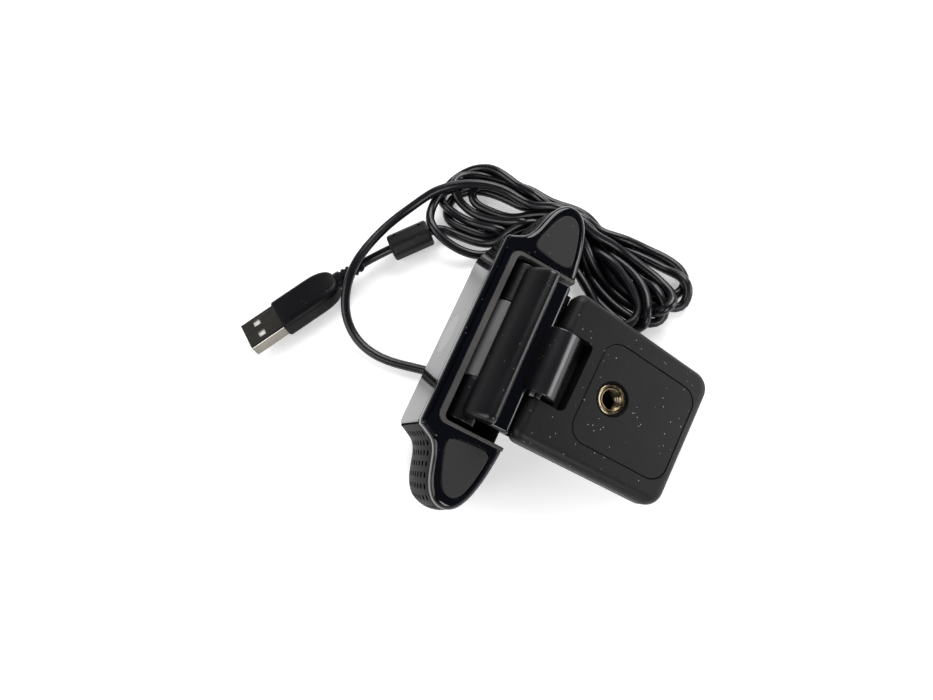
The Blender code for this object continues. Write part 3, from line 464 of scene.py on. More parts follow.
def push_from_body(p, gap):
    """Moves points (table frame) that are inside the leaning camera out of it."""
    Y = p[:, 1] * COS - (p[:, 2] - FRONT_Z) * SIN
    Z = p[:, 1] * SIN + (p[:, 2] - FRONT_Z) * COS + BODY_H
    X = p[:, 0]
    near = (X > -50) & (X < 2) & (Y > -gap) & (Y < BODY_D + gap) & (Z > -gap) & (Z < BODY_H + gap)
    idx = np.nonzero(near)[0]
    if not len(idx):
        return p
    poly = np.array(HALF)
    a, b = poly[:-1], poly[1:]
    q = np.stack([X[idx], Y[idx]], 1)
    ab = b - a
    t = np.clip(((q[:, None] - a) * ab).sum(2) / (ab * ab).sum(1), 0, 1)
    c = a + t[..., None] * ab
    d = np.linalg.norm(q[:, None] - c, axis=2)
    k = d.argmin(1)
    near_p = c[np.arange(len(idx)), k]
    dist = d[np.arange(len(idx)), k]
    nrm = np.stack([ab[k, 1], -ab[k, 0]], 1)
    nrm /= np.linalg.norm(nrm, axis=1)[:, None]
    side = ((q - near_p) * nrm).sum(1)
    inside = side > 0            # the outline runs front, ear, rear: its right hand is inside
    signed = np.where(inside, -dist, dist)
    below = Z[idx]               # distance above the top face plane (negative is outside)
    for j, i in enumerate(idx):
        if signed[j] >= gap:
            continue
        out_plan = gap - signed[j]
        out_top = below[j] + gap
        if out_top <= out_plan and p[i, 2] > 1.8:
            Z[i] -= out_top
        else:
            n2 = -nrm[j] if inside[j] else (q[j] - near_p[j]) / max(dist[j], 1e-6)
            X[i] += n2[0] * out_plan
            Y[i] += n2[1] * out_plan
    p = p.copy()
    p[:, 0] = X
    p[:, 1] = Y * COS + (Z - BODY_H) * SIN
    p[:, 2] = -Y * SIN + (Z - BODY_H) * COS + FRONT_Z
    return p


def relax(p, fixed, keep_z, rounds, step):
    """Position-based relaxation: strands push apart to one diameter, keep their
    length and bend gently, and lie down on the table and on each other."""
    d0 = 2 * CORD_R + 0.06
    home = p.copy()
    free = (~fixed)[:, None]
    n = len(p)
    gapn = int(math.ceil(7.5 / step))
    iu, ju = np.triu_indices(n, gapn)
    for it in range(rounds):
        hold = 0.03 if it < rounds * 0.3 else (0.010 if it < rounds * 0.7 else 0.004)
        pull = (home - p) * hold
        pull[:, 2] *= np.where(keep_z, 1.0, 0.35)
        p = p + pull * free
        p[:, 2] -= np.where(keep_z | fixed, 0.0, 0.012)
        # bending
        lap = np.zeros_like(p)
        lap[2:-2] = (-p[:-4] + 4 * p[1:-3] - 6 * p[2:-2] + 4 * p[3:-1] - p[4:]) / 16.0
        for _ in range(2):
            p = p + lap * 0.9 * free
            lap[2:-2] = (-p[:-4] + 4 * p[1:-3] - 6 * p[2:-2] + 4 * p[3:-1] - p[4:]) / 16.0
        # contact
        if it % 6 == 0:
            dd = p[iu] - p[ju]
            close = (dd * dd).sum(1) < (d0 + 1.6) ** 2
            ci, cj = iu[close], ju[close]
        dd = p[ci] - p[cj]
        L = np.sqrt((dd * dd).sum(1)) + 1e-9
        hit = L < d0
        if hit.any():
            a, b = ci[hit], cj[hit]
            mv = dd[hit] / L[hit][:, None] * ((d0 - L[hit]) * 0.5)[:, None] * np.array((0.65, 0.65, 1.5))
            acc = np.zeros_like(p)
            cnt = np.zeros(n)
            np.add.at(acc, a, mv)
            np.add.at(acc, b, -mv)
            np.add.at(cnt, a, 1)
            np.add.at(cnt, b, 1)
            p = p + acc / np.maximum(1.0, cnt * 0.55)[:, None] * free
        if it % 3 == 0:
            p = np.where(free, push_from_body(p, CORD_R + 0.12), p)
        # length
        for _ in range(2):
            seg = p[1:] - p[:-1]
            L = np.linalg.norm(seg, axis=1)
            corr = seg * ((L - step) / np.maximum(L, 1e-9) * 0.5)[:, None]
            p[:-1] += corr * free[:-1]
            p[1:] -= corr * free[1:]
        low = p[:, 2] < CORD_R + 0.05
        p[low & ~fixed, 2] = CORD_R + 0.05
        p[:, 0] = np.where(fixed, p[:, 0], np.maximum(p[:, 0], -64.9))
        p[:, 1] = np.where(fixed, p[:, 1], np.minimum(p[:, 1], 51.6))
    return p


STEP = 1.6
dense = np.array(catmull(CONTROL, 12))
path, total = resample(dense, STEP)
STEP = total / (len(path) - 1)
route_len = np.linalg.norm(np.diff(np.array(catmull(ROUTE_EXIT, 12)), axis=0), axis=1).sum()
tail = np.array(catmull(FER_RUN[-6:] + PLUG_RUN, 12))
tail_len = np.linalg.norm(np.diff(tail, axis=0), axis=1).sum()
s_at = np.arange(len(path)) * STEP
fixed = (s_at < 14.0) | (s_at > total - tail_len + 2.0)
keep_z = (s_at < route_len - 4.0)
path = relax(path, fixed, keep_z, 620, STEP)
cord_len = np.linalg.norm(np.diff(path, axis=0), axis=1).sum() * MM
print("cord length m", round(cord_len, 4), "points", len(path), "min z", path[:, 2].min(),
      "max z", path[:, 2].max())

W = path + np.array(SHIFT)
cu = bpy.data.curves.new("cord", "CURVE")
cu.dimensions = "3D"
cu.bevel_depth = CORD_R * MM
cu.bevel_resolution = 6
cu.use_fill_caps = True
sp = cu.splines.new("POLY")
sp.points.add(len(W) - 1)
for k, q in enumerate(W):
    sp.points[k].co = (q[0] * MM, q[1] * MM, q[2] * MM, 1.0)
sp.use_smooth = True
cord = bpy.data.objects.new("cord", cu)
COL.objects.link(cord)
cu.materials.append(CORDM)
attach(cord, "camera")
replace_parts(cord, "cord_body_run", "cord_hank", "cord_ferrite_run", "cord_plug_run")

# ------------------------------------------------------------------ shape helpers (millimetres, body frame)
def loft(sections, caps=True, wrap=False):
    bm = bmesh.new()
    rings = [[bm.verts.new(Vector(p) * MM) for p in sec] for sec in sections]
    n = len(rings[0])
    pairs = list(zip(rings, rings[1:])) + ([(rings[-1], rings[0])] if wrap else [])
    for a, b in pairs:
        for i in range(n):
            j = (i + 1) % n
            bm.faces.new((a[i], a[j], b[j], b[i]))
    if caps and not wrap:
        bm.faces.new(list(reversed(rings[0])))
        bm.faces.new(rings[-1])
    bmesh.ops.recalc_face_normals(bm, faces=bm.faces)
    me = bpy.data.meshes.new("loft")
    bm.to_mesh(me)
    bm.free()
    return me


def grow(loop, t):
    out = []
    n = len(loop)
    area2 = sum(loop[i][0] * loop[(i + 1) % n][1] - loop[(i + 1) % n][0] * loop[i][1] for i in range(n))
    sgn = 1.0 if area2 > 0 else -1.0
    for i in range(n):
        a, p, b = Vector(loop[i - 1]), Vector(loop[i]), Vector(loop[(i + 1) % n])
        d = ((p - a).normalized() + (b - p).normalized())
        if d.length < 1e-6:
            d = (b - p)
        d.normalize()
        k = max(0.5, abs(d.dot((b - p).normalized())))
        q = p + Vector((d.y, -d.x)) * (t / k) * sgn
        out.append((q.x, q.y))
    return out


def rounded(corners, r, n):
    out = []
    m = len(corners)
    for i in range(m):
        p = Vector(corners[i])
        a = (Vector(corners[i - 1]) - p).normalized()
        b = (Vector(corners[(i + 1) % m]) - p).normalized()
        ri = r[i] if isinstance(r, (list, tuple)) else r
        if ri <= 0:
            out.append((p.x, p.y))
            continue
        half = math.acos(max(-1, min(1, a.dot(b)))) / 2
        d = ri / math.tan(half)
        c = p + (a + b).normalized() * (ri / math.sin(half))
        s, e = p + a * d, p + b * d
        a0 = math.atan2(s.y - c.y, s.x - c.x)
        a1 = math.atan2(e.y - c.y, e.x - c.x)
        da = (a1 - a0 + math.pi) % (2 * math.pi) - math.pi
        for k in range(n + 1):
            t = a0 + da * k / n
            out.append((c.x + ri * math.cos(t), c.y + ri * math.sin(t)))
    return out


def spaced(loop, step):
    """A closed loop with extra points on its long straight runs."""
    out = []
    for i in range(len(loop)):
        a, b = Vector(loop[i]), Vector(loop[(i + 1) % len(loop)])
        k = max(1, int((b - a).length / step))
        for j in range(k):
            q = a + (b - a) * (j / k)
            out.append((q.x, q.y))
    return out


def circle(cx_, cy_, r, n, phase=0.5):
    return [(cx_ + r * math.cos(2 * math.pi * (k + phase) / n),
             cy_ + r * math.sin(2 * math.pi * (k + phase) / n)) for k in range(n)]


def fillet(z0, z1, r0, r1, n=5):
    """(z, inset) pairs of a wall from z0 up to z1 with rounded lower and upper edges."""
    out = []
    if r0 > 0:
        for k in range(n + 1):
            a = math.pi / 2 * k / n
            out.append((z0 + r0 * (1 - math.cos(a)), r0 * (1 - math.sin(a))))
    else:
        out.append((z0, 0.0))
    if r1 > 0:
        for k in range(n + 1):
            a = math.pi / 2 * k / n
            out.append((z1 - r1 * (1 - math.sin(a)), r1 * (1 - math.cos(a))))
    else:
        out.append((z1, 0.0))
    return out


def slab(loop, z0, z1, r0=0.0, r1=0.0, n=5):
    return loft([[(x, y, z) for x, y in (grow(loop, -t) if t else loop)] for z, t in fillet(z0, z1, r0, r1, n)])


def cut(me, *others):
    for other in others:
        a = bpy.data.objects.new("a", me)
        b = bpy.data.objects.new("b", other)
        COL.objects.link(a)
        COL.objects.link(b)
        md = a.modifiers.new("cut", "BOOLEAN")
        md.object = b
        md.operation = "DIFFERENCE"
        md.solver = "EXACT"
        bpy.context.view_layer.update()
        me = bpy.data.meshes.new_from_object(a.evaluated_get(bpy.context.evaluated_depsgraph_get()))
        bpy.data.objects.remove(a, do_unlink=True)
        bpy.data.objects.remove(b, do_unlink=True)
    return me


def soften(me, width, angle, segments=3):
    """Rounds the edges sharper than the angle."""
    bm = bmesh.new()
    bm.from_mesh(me)
    bmesh.ops.remove_doubles(bm, verts=bm.verts, dist=2e-6)
    lim = math.radians(angle)
    edges = [e for e in bm.edges if len(e.link_faces) == 2 and e.calc_face_angle(0.0) > lim]
    bmesh.ops.bevel(bm, geom=edges, offset=width * MM, segments=segments, profile=0.5,
                    affect="EDGES", clamp_overlap=True)
    bm.to_mesh(me)
    bm.free()
    return me


def side_profile(me):
    me.transform(Matrix(((0, 0, 1, 0), (1, 0, 0, 0), (0, 1, 0, 0), (0, 0, 0, 1))))
    return me


def mirrored(me):
    m2 = me.copy()
    m2.transform(Matrix.Scale(-1, 4, Vector((1, 0, 0))))
    m2.flip_normals()
    return m2


def pull_x(loop, x0, x1, r=0.6, n=5):
    """(Y, Z) loop pulled along X with rounded ends."""
    secs = [[(x, y, z) for y, z in (grow(loop, -t) if t else loop)] for x, t in fillet(x0, x1, r, r, n)]
    return loft(secs)


def bar(r, x0, x1, cy_, cz_, edge=0.4, n=96):
    return pull_x(circle(cy_, cz_, r, n), x0, x1, edge, 4)


def block(x0, x1, y0, y1, z0, z1):
    return loft([[(x0, y0, z), (x1, y0, z), (x1, y1, z), (x0, y1, z)] for z in (z0, z1)])


def pin(r, z0, z1, cx_=0.0, cy_=0.0, n=64):
    return loft([[(x, y, z) for x, y in circle(cx_, cy_, r, n)] for z in (z0, z1)])


# ------------------------------------------------------------------ camera skin
ear = catmull(EAR, 7)
right = [(28.4 * k / 8.0, 0.0) for k in range(1, 9)] + ear + [(24.0 - 6.0 * k, BODY_D) for k in range(4)]
OUT = [(0.0, 0.0)] + right + [(0.0, BODY_D)] + [(-x, y) for x, y in reversed(right)]
NOUT = len(OUT)


def off(i, t):
    p = Vector(OUT[i])
    d1 = (p - Vector(OUT[(i - 1) % NOUT])).normalized()
    d2 = (Vector(OUT[(i + 1) % NOUT]) - p).normalized()
    d = (d1 + d2).normalized()
    n = Vector((-d.y, d.x))
    return p + n * (t / max(0.7, d.dot(d1)))


def inset(i, t):
    x, y = OUT[i]
    if abs(x) > 26.5 and y < 4.5:
        t = min(t, 0.9)
    q = off(i, t)
    return (q.x, q.y)


# underside bezel with its well and the two pad pockets
BEZ_Z0 = BODY_H - 3.3
R_EDGE = 1.7
levels = [(BEZ_Z0, 0.0), (27.0, -0.02), (BODY_H - R_EDGE, 0.0)]
levels += [(BODY_H - R_EDGE * (1 - math.sin(a)), R_EDGE * (1 - math.cos(a)))
           for a in [math.pi / 2 * k / 8 for k in range(1, 9)]]
bez = loft([[(*inset(i, t), z) for i in range(NOUT)] for z, t in levels])
WELL_X, WELL_Y0 = 26.9, 3.4
well_plan = rounded([(-WELL_X - 0.15, WELL_Y0 - 0.15), (WELL_X + 0.15, WELL_Y0 - 0.15),
                     (WELL_X + 0.15, 40.0), (-WELL_X - 0.15, 40.0)], [3.0, 3.0, 0, 0], 12)
PAD = [(29.6, 9.8), (28.8, 14.5), (28.8, 19.2), (30.3, 21.0), (34.2, 20.6),
       (38.4, 19.7), (41.9, 18.4), (43.7, 16.3), (43.4, 13.8), (41.2, 11.9),
       (37.2, 10.2), (32.8, 8.9), (30.7, 8.8)]
pad_plan = catmull(PAD, 7, True)
pocket = loft([[(x, y, z) for x, y in grow(pad_plan, 0.22)] for z in (BODY_H - 1.2, BODY_H + 2.0)])
bez = cut(bez, loft([[(x, y, z) for x, y in well_plan] for z in (BEZ_Z0 - 2, BODY_H + 2)]),
          pocket, mirrored(pocket))
bez = soften(bez, 0.28, 55, 3)
bez_ob = add("bezel_rim", bez, GLOSS, smooth=40)
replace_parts(bez_ob, "underside_bezel")

pad_levels = [(BODY_H - 1.1, 0.0), (BODY_H - 0.30, 0.0), (BODY_H - 0.12, 0.06), (BODY_H, 0.2),
              (BODY_H + 0.05, 0.42)]
pad_me = loft([[(x, y, z) for x, y in (grow(pad_plan, -t) if t else pad_plan)] for z, t in pad_levels])
pad_b = mirrored(pad_me)
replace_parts(add("ear_pad_skin_a", pad_me, PADM, smooth=40), "ear_pad_a")
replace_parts(add("ear_pad_skin_b", pad_b, PADM, smooth=40), "ear_pad_b")

# perforated cheeks
Z_LO, Z_HI = 3.8, BODY_H - 3.3 - 0.15
i0 = min(range(NOUT), key=lambda i: (OUT[i][0] - 29.3) ** 2 + (OUT[i][1] - 0.25) ** 2)
i1 = min(range(NOUT), key=lambda i: (OUT[i][0] - 44.6) ** 2 + (OUT[i][1] - 19.6) ** 2)
idx = list(range(i0, i1 + 1))
arc = [0.0]
for a_, b_ in zip(idx, idx[1:]):
    arc.append(arc[-1] + (Vector(OUT[b_]) - Vector(OUT[a_])).length)
secs = []
NLEV = 26
for k in range(NLEV + 1):
    z = Z_LO + (Z_HI - Z_LO) * k / NLEV
    swell = max(0.0, math.sin(math.pi * k / NLEV)) ** 0.8
    outer, inner = [], []
    for s_, i in zip(arc, idx):
        ramp_ = min(1.0, s_ / 7.0)
        ramp_ = ramp_ * ramp_ * (3 - 2 * ramp_)
        q = off(i, -swell * ramp_ + 0.05)
        outer.append((q.x, q.y, z))
        q = off(i, 1.5)
        inner.append((q.x, q.y, z))
    secs.append(outer + list(reversed(inner)))
cheek = loft(secs)
slots = bmesh.new()
for c in range(9):
    s_ = arc[-1] * (c + 1.0) / 10.0
    k = max(i for i in range(len(arc) - 1) if arc[i] <= s_)
    f = (s_ - arc[k]) / (arc[k + 1] - arc[k])
    a_, b_ = Vector(OUT[idx[k]]), Vector(OUT[idx[k + 1]])
    p = a_ + (b_ - a_) * f
    d = (b_ - a_).normalized()
    nn = Vector((-d.y, d.x))
    for r_ in range(7):
        z = Z_LO + (Z_HI - Z_LO) * (r_ + 0.9) / 7.8
        ring_a, ring_b = [], []
        for q in rounded([(-0.72, -0.62), (0.72, -0.62), (0.72, 0.62), (-0.72, 0.62)], 0.35, 3):
            for ring_, depth in ((ring_a, -1.9), (ring_b, 1.0)):
                w = p + d * q[0] + nn * depth
                ring_.append(slots.verts.new(Vector((w.x, w.y, z + q[1])) * MM))
        m_ = len(ring_a)
        for i in range(m_):
            j = (i + 1) % m_
            slots.faces.new((ring_a[i], ring_a[j], ring_b[j], ring_b[i]))
        slots.faces.new(list(reversed(ring_a)))
        slots.faces.new(ring_b)
bmesh.ops.recalc_face_normals(slots, faces=slots.faces)
slot_me = bpy.data.meshes.new("slots")
slots.to_mesh(slot_me)
slots.free()
cheek = cut(cheek, slot_me)
cheek_b = mirrored(cheek)
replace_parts(add("cheek_skin_a", cheek, CHEEK, smooth=35), "cheek_grille_a")
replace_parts(add("cheek_skin_b", cheek_b, CHEEK, smooth=35), "cheek_grille_b")

# dark sheet behind the slots: painted shade of the grille's inside
liner = loft([[(*[(off(i, 1.75).x, off(i, 1.75).y)][0], z) for i in idx] +
              [(*[(off(i, 2.2).x, off(i, 2.2).y)][0], z) for i in reversed(idx)] for z in (Z_LO, Z_HI)])
liner_b = mirrored(liner)
add("grille_shade_sheet_a", liner, BLACK_AND_SHADE, smooth=40)
add("grille_shade_sheet_b", liner_b, BLACK_AND_SHADE, smooth=40)

# top cap
cap_levels = [(0.0, 2.9), (0.12, 2.2), (0.4, 1.5), (0.9, 0.9), (1.6, 0.4), (2.4, 0.12), (3.5, 0.0)]
cap = loft([[(*inset(i, t), z) for i in range(NOUT)] for z, t in cap_levels])
gd = Vector(GLAND_DIR)
to_g = gd.to_track_quat("Z", "Y").to_matrix().to_4x4()
cap = cut(cap, block(-29.1, 29.1, -3.0, 1.6, 0.65, 6.0))
cap.transform(REST)
hole_ = pin(2.45, -4.0, 26.0)
hole_.transform(Matrix.Translation((Vector(GLAND_FACE) + SHIFT) * MM) @ to_g)
cap = cut(cap, hole_)
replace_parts(add("top_cap_skin", soften(cap, 0.2, 55, 2), SATIN, world=True, smooth=35), "top_cap")

# front panel, one glossy face with the lens behind its middle
PX = 29.05
face = rounded([(-PX, 0.8), (PX, 0.8), (PX, Z_HI), (-PX, Z_HI)], [2.6, 2.6, 1.0, 1.0], 12)
panel = slab(spaced(face, 3.0), -1.5, 0.0, 0.2, 0.35, 4)
panel = cut(panel, pin(6.24, -3.0, 3.0, 0.0, 11.0, 96))
panel.transform(Matrix.Rotation(math.pi / 2, 4, "X"))
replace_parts(add("front_panel_skin", panel, STRIP, smooth=35), "front_panel")
win = slab(circle(0.0, 11.0, 6.23, 96), -1.2, 0.0, 0.1, 0.0, 3)
win.transform(Matrix.Rotation(math.pi / 2, 4, "X"))
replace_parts(add("lens_window_skin", win, GLASS, smooth=35), "lens_window")

# ------------------------------------------------------------------ hinge well
tray_out = rounded([(-WELL_X, WELL_Y0), (WELL_X, WELL_Y0), (WELL_X, 24.0), (-WELL_X, 24.0)],
                   [3.0, 3.0, 0.3, 0.3], 12)
tray_in = rounded([(-25.7, 5.4), (25.7, 5.4), (25.7, 30.0), (-25.7, 30.0)], [1.6, 1.6, 0, 0], 8)
tray = cut(loft([[(x, y, z) for x, y in tray_out] for z in (18.5, BODY_H - 0.35)]),
           loft([[(x, y, z) for x, y in tray_in] for z in (19.7, BODY_H + 3.0)]))
tray = soften(tray, 0.22, 55, 3)
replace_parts(add("well_liner", tray, BAND, smooth=40), "hinge_well_tray")
# dark floor sheet of the well, under the barrel: painted shade over the band's floor
well_floor = slab(tray_in[:len(tray_in) - 2] + [(25.7, 23.6), (-25.7, 23.6)], 19.7, 20.0, 0, 0.1, 2)
add("well_floor_shade_sheet", well_floor, BLACK_AND_SHADE, smooth=40)

H1 = (10.4, 25.0)
H2 = (25.8, 32.4)
for tag, sx in (("a", 1), ("b", -1)):
    x0, x1 = (12.1, 24.3) if sx > 0 else (-24.3, -12.1)
    seg = bar(4.2, x0, x1, H1[0], H1[1], 0.35)
    foot_of = block(x0 + 0.3, x1 - 0.3, H1[0] - 4.1, H1[0] + 4.1, 20.0, 25.0)
    seg = cut(seg, bar(1.09, x0 - 1, x1 + 1, H1[0], H1[1], 0.0, 24))
    o1 = add("lug_barrel_" + tag, seg, SATIN, smooth=35)
    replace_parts(o1, "hinge_lug_" + tag)
    add("lug_web_" + tag, soften(foot_of, 0.2, 50, 2), SATIN, smooth=35)

# ------------------------------------------------------------------ arm
mid = bar(4.7, -11.7, 11.7, H1[0], H1[1], 0.35)
mid = cut(mid, bar(1.09, -13, 13, H1[0], H1[1], 0.0, 24))
o_mid = add("arm_barrel", mid, BARREL, "arm", smooth=35)
neck = soften(block(-11.3, 11.3, 10.2, 14.0, 27.0, 31.6), 0.3, 50, 2)
add("arm_neck", neck, SATIN, "arm", smooth=35)
step_loop = spaced(rounded([(10.3, 30.2), (22.2, 30.2), (22.25, 33.7), (10.3, 33.7)], [0.4, 0.5, 1.3, 0.3], 6), 2.0)
step_me = pull_x(step_loop, -22.8, 22.8, 1.0, 7)
# dark blocks filling the gap between the arm slab and the foot: painted shade where the gap would show the floor
skirt = soften(block(-22.2, 22.2, 20.4, 24.9, 27.2, 28.3), 0.4, 50, 3)
add("arm_shade_skirt", skirt, BLACK_AND_SHADE, "arm", smooth=40)
skirt = soften(block(-21.8, 21.8, 20.4, 21.6, 28.0, 30.6), 0.2, 50, 2)
add("arm_shade_skirt_web", skirt, BLACK_AND_SHADE, "arm", smooth=40)
o_step = add("arm_slab", step_me, GLOSS, "arm", smooth=45)
kn = bar(5.1, -9.7, 9.7, H2[0], H2[1], 0.45, 128)
kn = cut(kn, bar(1.09, -11, 11, H2[0], H2[1], 0.0, 24))
o_kn = add("arm_knuckle", kn, KNUCK, "arm", smooth=35)
# the web behind the knuckle is in the flat black: painted shade in place of its own sheen
neck2 = pull_x(spaced([(19.4, 30.7), (23.8, 29.2), (24.6, 36.6), (19.4, 33.4)], 1.2), -9.4, 9.4, 0.5, 3)
o_n2 = add("arm_knuckle_web", neck2, BLACK_AND_SHADE, "arm", smooth=40)
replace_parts(o_kn, "arm_core")
# smooth upper cover of the arm
prof = catmull([(9.0, 29.95), (8.55, 30.6), (8.75, 32.0), (9.35, 33.4), (10.4, 35.4), (11.7, 37.3),
                (13.0, 38.8), (14.1, 39.45), (15.1, 39.55), (15.9, 39.1), (16.35, 38.1), (16.5, 36.6),
                (16.55, 33.6)], 6)
prof = [(p[0], p[1]) for p in prof] + [(10.4, 33.4), (10.0, 29.95)]
secs = []
for x, t in fillet(-22.8, 22.8, 1.8, 1.8, 8):
    k = 1.0 - t / 6.5
    secs.append([(x, 13.6 + (y - 13.6) * k, 33.0 + (z - 33.0) * k) for y, z in spaced(prof, 1.2)])
cover = loft(secs)
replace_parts(add("arm_cover_skin", cover, SATIN, "arm", smooth=50), "arm_cover")

# ------------------------------------------------------------------ foot
# The foot sits a little askew in its hinge's play.
SKEW = (Matrix.Translation(Vector((0, 25.8, 0)) * MM) @ Matrix.Rotation(math.radians(-2.6), 4, "Z")
        @ Matrix.Translation(Vector((0, -25.8, 0)) * MM))


def add_foot(name, me, mat, smooth=40):
    me.transform(SKEW)
    return add(name, me, mat, "foot", smooth=smooth)


FZ = 34.9
foot_plan = spaced(rounded([(-23.4, 23.4), (23.4, 23.4), (21.0, 71.6), (-20.9, 72.3)], [3.6, 3.6, 5.4, 5.4], 12), 2.5)
shell = slab(foot_plan, FZ - 6.1, FZ, 0.0, 3.0, 12)
panel_plan = rounded([(-15.4, 37.5), (15.4, 37.5), (14.3, 68.6), (-14.3, 68.9)], 5.0, 14)
slot_loop = rounded([(-10.6, 10.0), (10.6, 10.0), (10.6, 34.0), (-10.6, 34.0)], [0, 0, 1.8, 1.8], 8)
shell = cut(shell,
            loft([[(x, y, z) for x, y in slot_loop] for z in (FZ - 12, FZ + 4)]),
            loft([[(x, y, z) for x, y in grow(panel_plan, 0.22)] for z in (FZ - 1.3, FZ + 3.0)]),
            pin(4.98, FZ - 6.0, FZ + 2.0, 0.0, 45.4, 96),
            cut(block(-26, 26, 20.0, 25.8, 24.0, 32.4), bar(3.45, -27, 27, 25.8, 32.4, 0.0)))
shell = soften(shell, 0.22, 60, 3)
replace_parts(add_foot("foot_skin", shell, FOOTM, smooth=40), "foot_shell")
pan = slab(panel_plan, FZ - 1.1, FZ - 0.02, 0.0, 0.28, 4)
pan = cut(pan, pin(5.0, FZ - 3.0, FZ + 2.0, 0.0, 45.4, 96))
pan = soften(pan, 0.12, 60, 2)
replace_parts(add_foot("foot_panel_skin", pan, PANELM, smooth=40), "foot_inset_panel")
under_plan = spaced(rounded([(-22.8, 27.4), (22.8, 27.4), (19.2, 71.0), (-19.2, 71.0)], [1.6, 1.6, 5.0, 5.0], 10), 2.5)
under = slab(under_plan, FZ - 9.5, FZ - 6.1, 1.3, 0.0, 6)
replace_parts(add_foot("foot_grip_skin", under, PADM, smooth=40), "foot_grip_pad")


def turned(profile, cx_, cy_, n=96, closed=True):
    return loft([[(cx_ + r * math.cos(2 * math.pi * k / n), cy_ + r * math.sin(2 * math.pi * k / n), z)
                  for k in range(n)] for r, z in profile], caps=False, wrap=closed)


# black collar, brass insert and its thread
collar = turned([(4.34, FZ - 0.9), (4.34, FZ - 0.5), (4.5, FZ - 0.34), (4.66, FZ - 0.14), (4.84, FZ - 0.06),
                 (4.96, FZ - 0.2), (4.96, FZ - 0.9)], 0.0, 45.4)
o_col = add_foot("insert_collar", collar, BLACK_AND_SHADE, smooth=35)
ins = turned([(3.25, FZ - 5.0), (3.25, FZ - 1.0), (3.55, FZ - 0.6), (4.05, FZ - 0.46), (4.3, FZ - 0.6),
              (4.32, FZ - 5.0)], 0.0, 45.4)
o_ins = add_foot("insert_sleeve", ins, BRASS, smooth=35)
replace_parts(o_ins, "thread_insert")
NTH, NZ = 72, 90
bm = bmesh.new()
grid = []
for k in range(NZ + 1):
    z = FZ - 0.6 - 4.4 * k / NZ
    row = []
    for j in range(NTH):
        th = 2 * math.pi * j / NTH
        u = ((FZ - z) / 1.27 + th / (2 * math.pi)) % 1.0
        ridge = 1.0 - abs(2 * u - 1)
        r = 3.24 - 0.52 * min(1.0, ridge * 1.25) * min(1.0, k / 5.0)
        row.append(bm.verts.new(Vector((r * math.cos(th), 45.4 + r * math.sin(th), z)) * MM))
    grid.append(row)
for a_, b_ in zip(grid, grid[1:]):
    for j in range(NTH):
        bm.faces.new((a_[j], a_[(j + 1) % NTH], b_[(j + 1) % NTH], b_[j]))
thread = bpy.data.meshes.new("thread")
bm.to_mesh(thread)
bm.free()
add_foot("insert_thread", thread, BRASS, smooth=80)
# floor of the threaded bore in the flat black: painted shade at the bottom of the bore
add_foot("insert_floor", slab(circle(0, 45.4, 3.6, 48), FZ - 5.6, FZ - 5.0), BLACK_AND_SHADE, smooth=30)

# ------------------------------------------------------------------ plug, relief and ferrite
plug_axis = Vector(PLUG_DIR)
LAY = (Matrix.Translation((Vector(PLUG_FRONT) + SHIFT) * MM) @ plug_axis.to_track_quat("Z", "X").to_matrix().to_4x4()
       @ Matrix.Rotation(math.radians(-15.0), 4, "Z"))


def flat_tube(w, h, r, n=6):
    return rounded([(-h / 2, -w / 2), (h / 2, -w / 2), (h / 2, w / 2), (-h / 2, w / 2)], r, n)


def on_plug(me):
    me.transform(LAY)
    return me


sh = cut(slab(flat_tube(12.0, 4.5, 0.75), 0.0, 12.6, 0.12, 0.0, 2),
         loft([[(x, y, z) for x, y in flat_tube(11.3, 3.8, 0.4)] for z in (-1.0, 12.0)]))
for sy in (-1, 1):
    for sx in (1, -1):
        sh = cut(sh, block(sx * 2.3 - 1.4, sx * 2.3 + 1.4, sy * 2.6 - 1.15, sy * 2.6 + 1.15, 4.1, 6.5))
sh = cut(sh, block(1.95, 2.6, -0.05, 0.05, -1.0, 3.4), block(1.95, 2.6, -0.9, 0.05, 3.3, 3.42),
         block(1.95, 2.6, -0.95, -0.85, 3.3, 5.0), block(1.95, 2.6, -0.95, 0.5, 4.9, 5.02),
         block(1.95, 2.6, 0.42, 0.5, 4.9, 13.0))
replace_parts(add("plug_shell_skin", on_plug(soften(sh, 0.08, 60, 2)), NICKEL, world=True, smooth=35), "plug_shell")
tongue = slab(flat_tube(10.9, 3.5, 0.3), 3.9, 11.9, 0.1, 0.0, 2)
tongue.transform(Matrix.Translation(Vector((0.0, 0, 0)) * MM))
add("plug_tongue_root", on_plug(tongue), WHITE, world=True, smooth=35)
ML = float(np.linalg.norm(PLUG_REAR - PLUG_FRONT))
secs = []
zs = [12.3, 12.45, 12.9, 14.0, 18.0, 22.0, 25.0, 27.0, 28.8, 30.4, 31.7, 32.8, 33.7, 34.3, 34.75, ML]
for z in zs:
    u = max(0.0, (z - 25.5) / (ML - 25.5))
    e_ = math.sqrt(max(0.0, 1 - u ** 2.6))
    w = 13.4 * (0.36 + 0.64 * e_)
    h = 7.0 * (0.62 + 0.38 * e_)
    if z < 12.6:
        w -= 2 * (12.9 - z) * 0.7
        h -= 2 * (12.9 - z) * 0.7
    r = min(w, h) * 0.30 + 0.8 * (1 - e_)
    r = min(r, h / 2 - 0.05, w / 2 - 0.05)
    secs.append([(x, y, z) for x, y in flat_tube(w, h, r, 10)])
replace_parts(add("plug_body_skin", on_plug(loft(secs)), PLUGM, world=True, smooth=50), "plug_moulding")

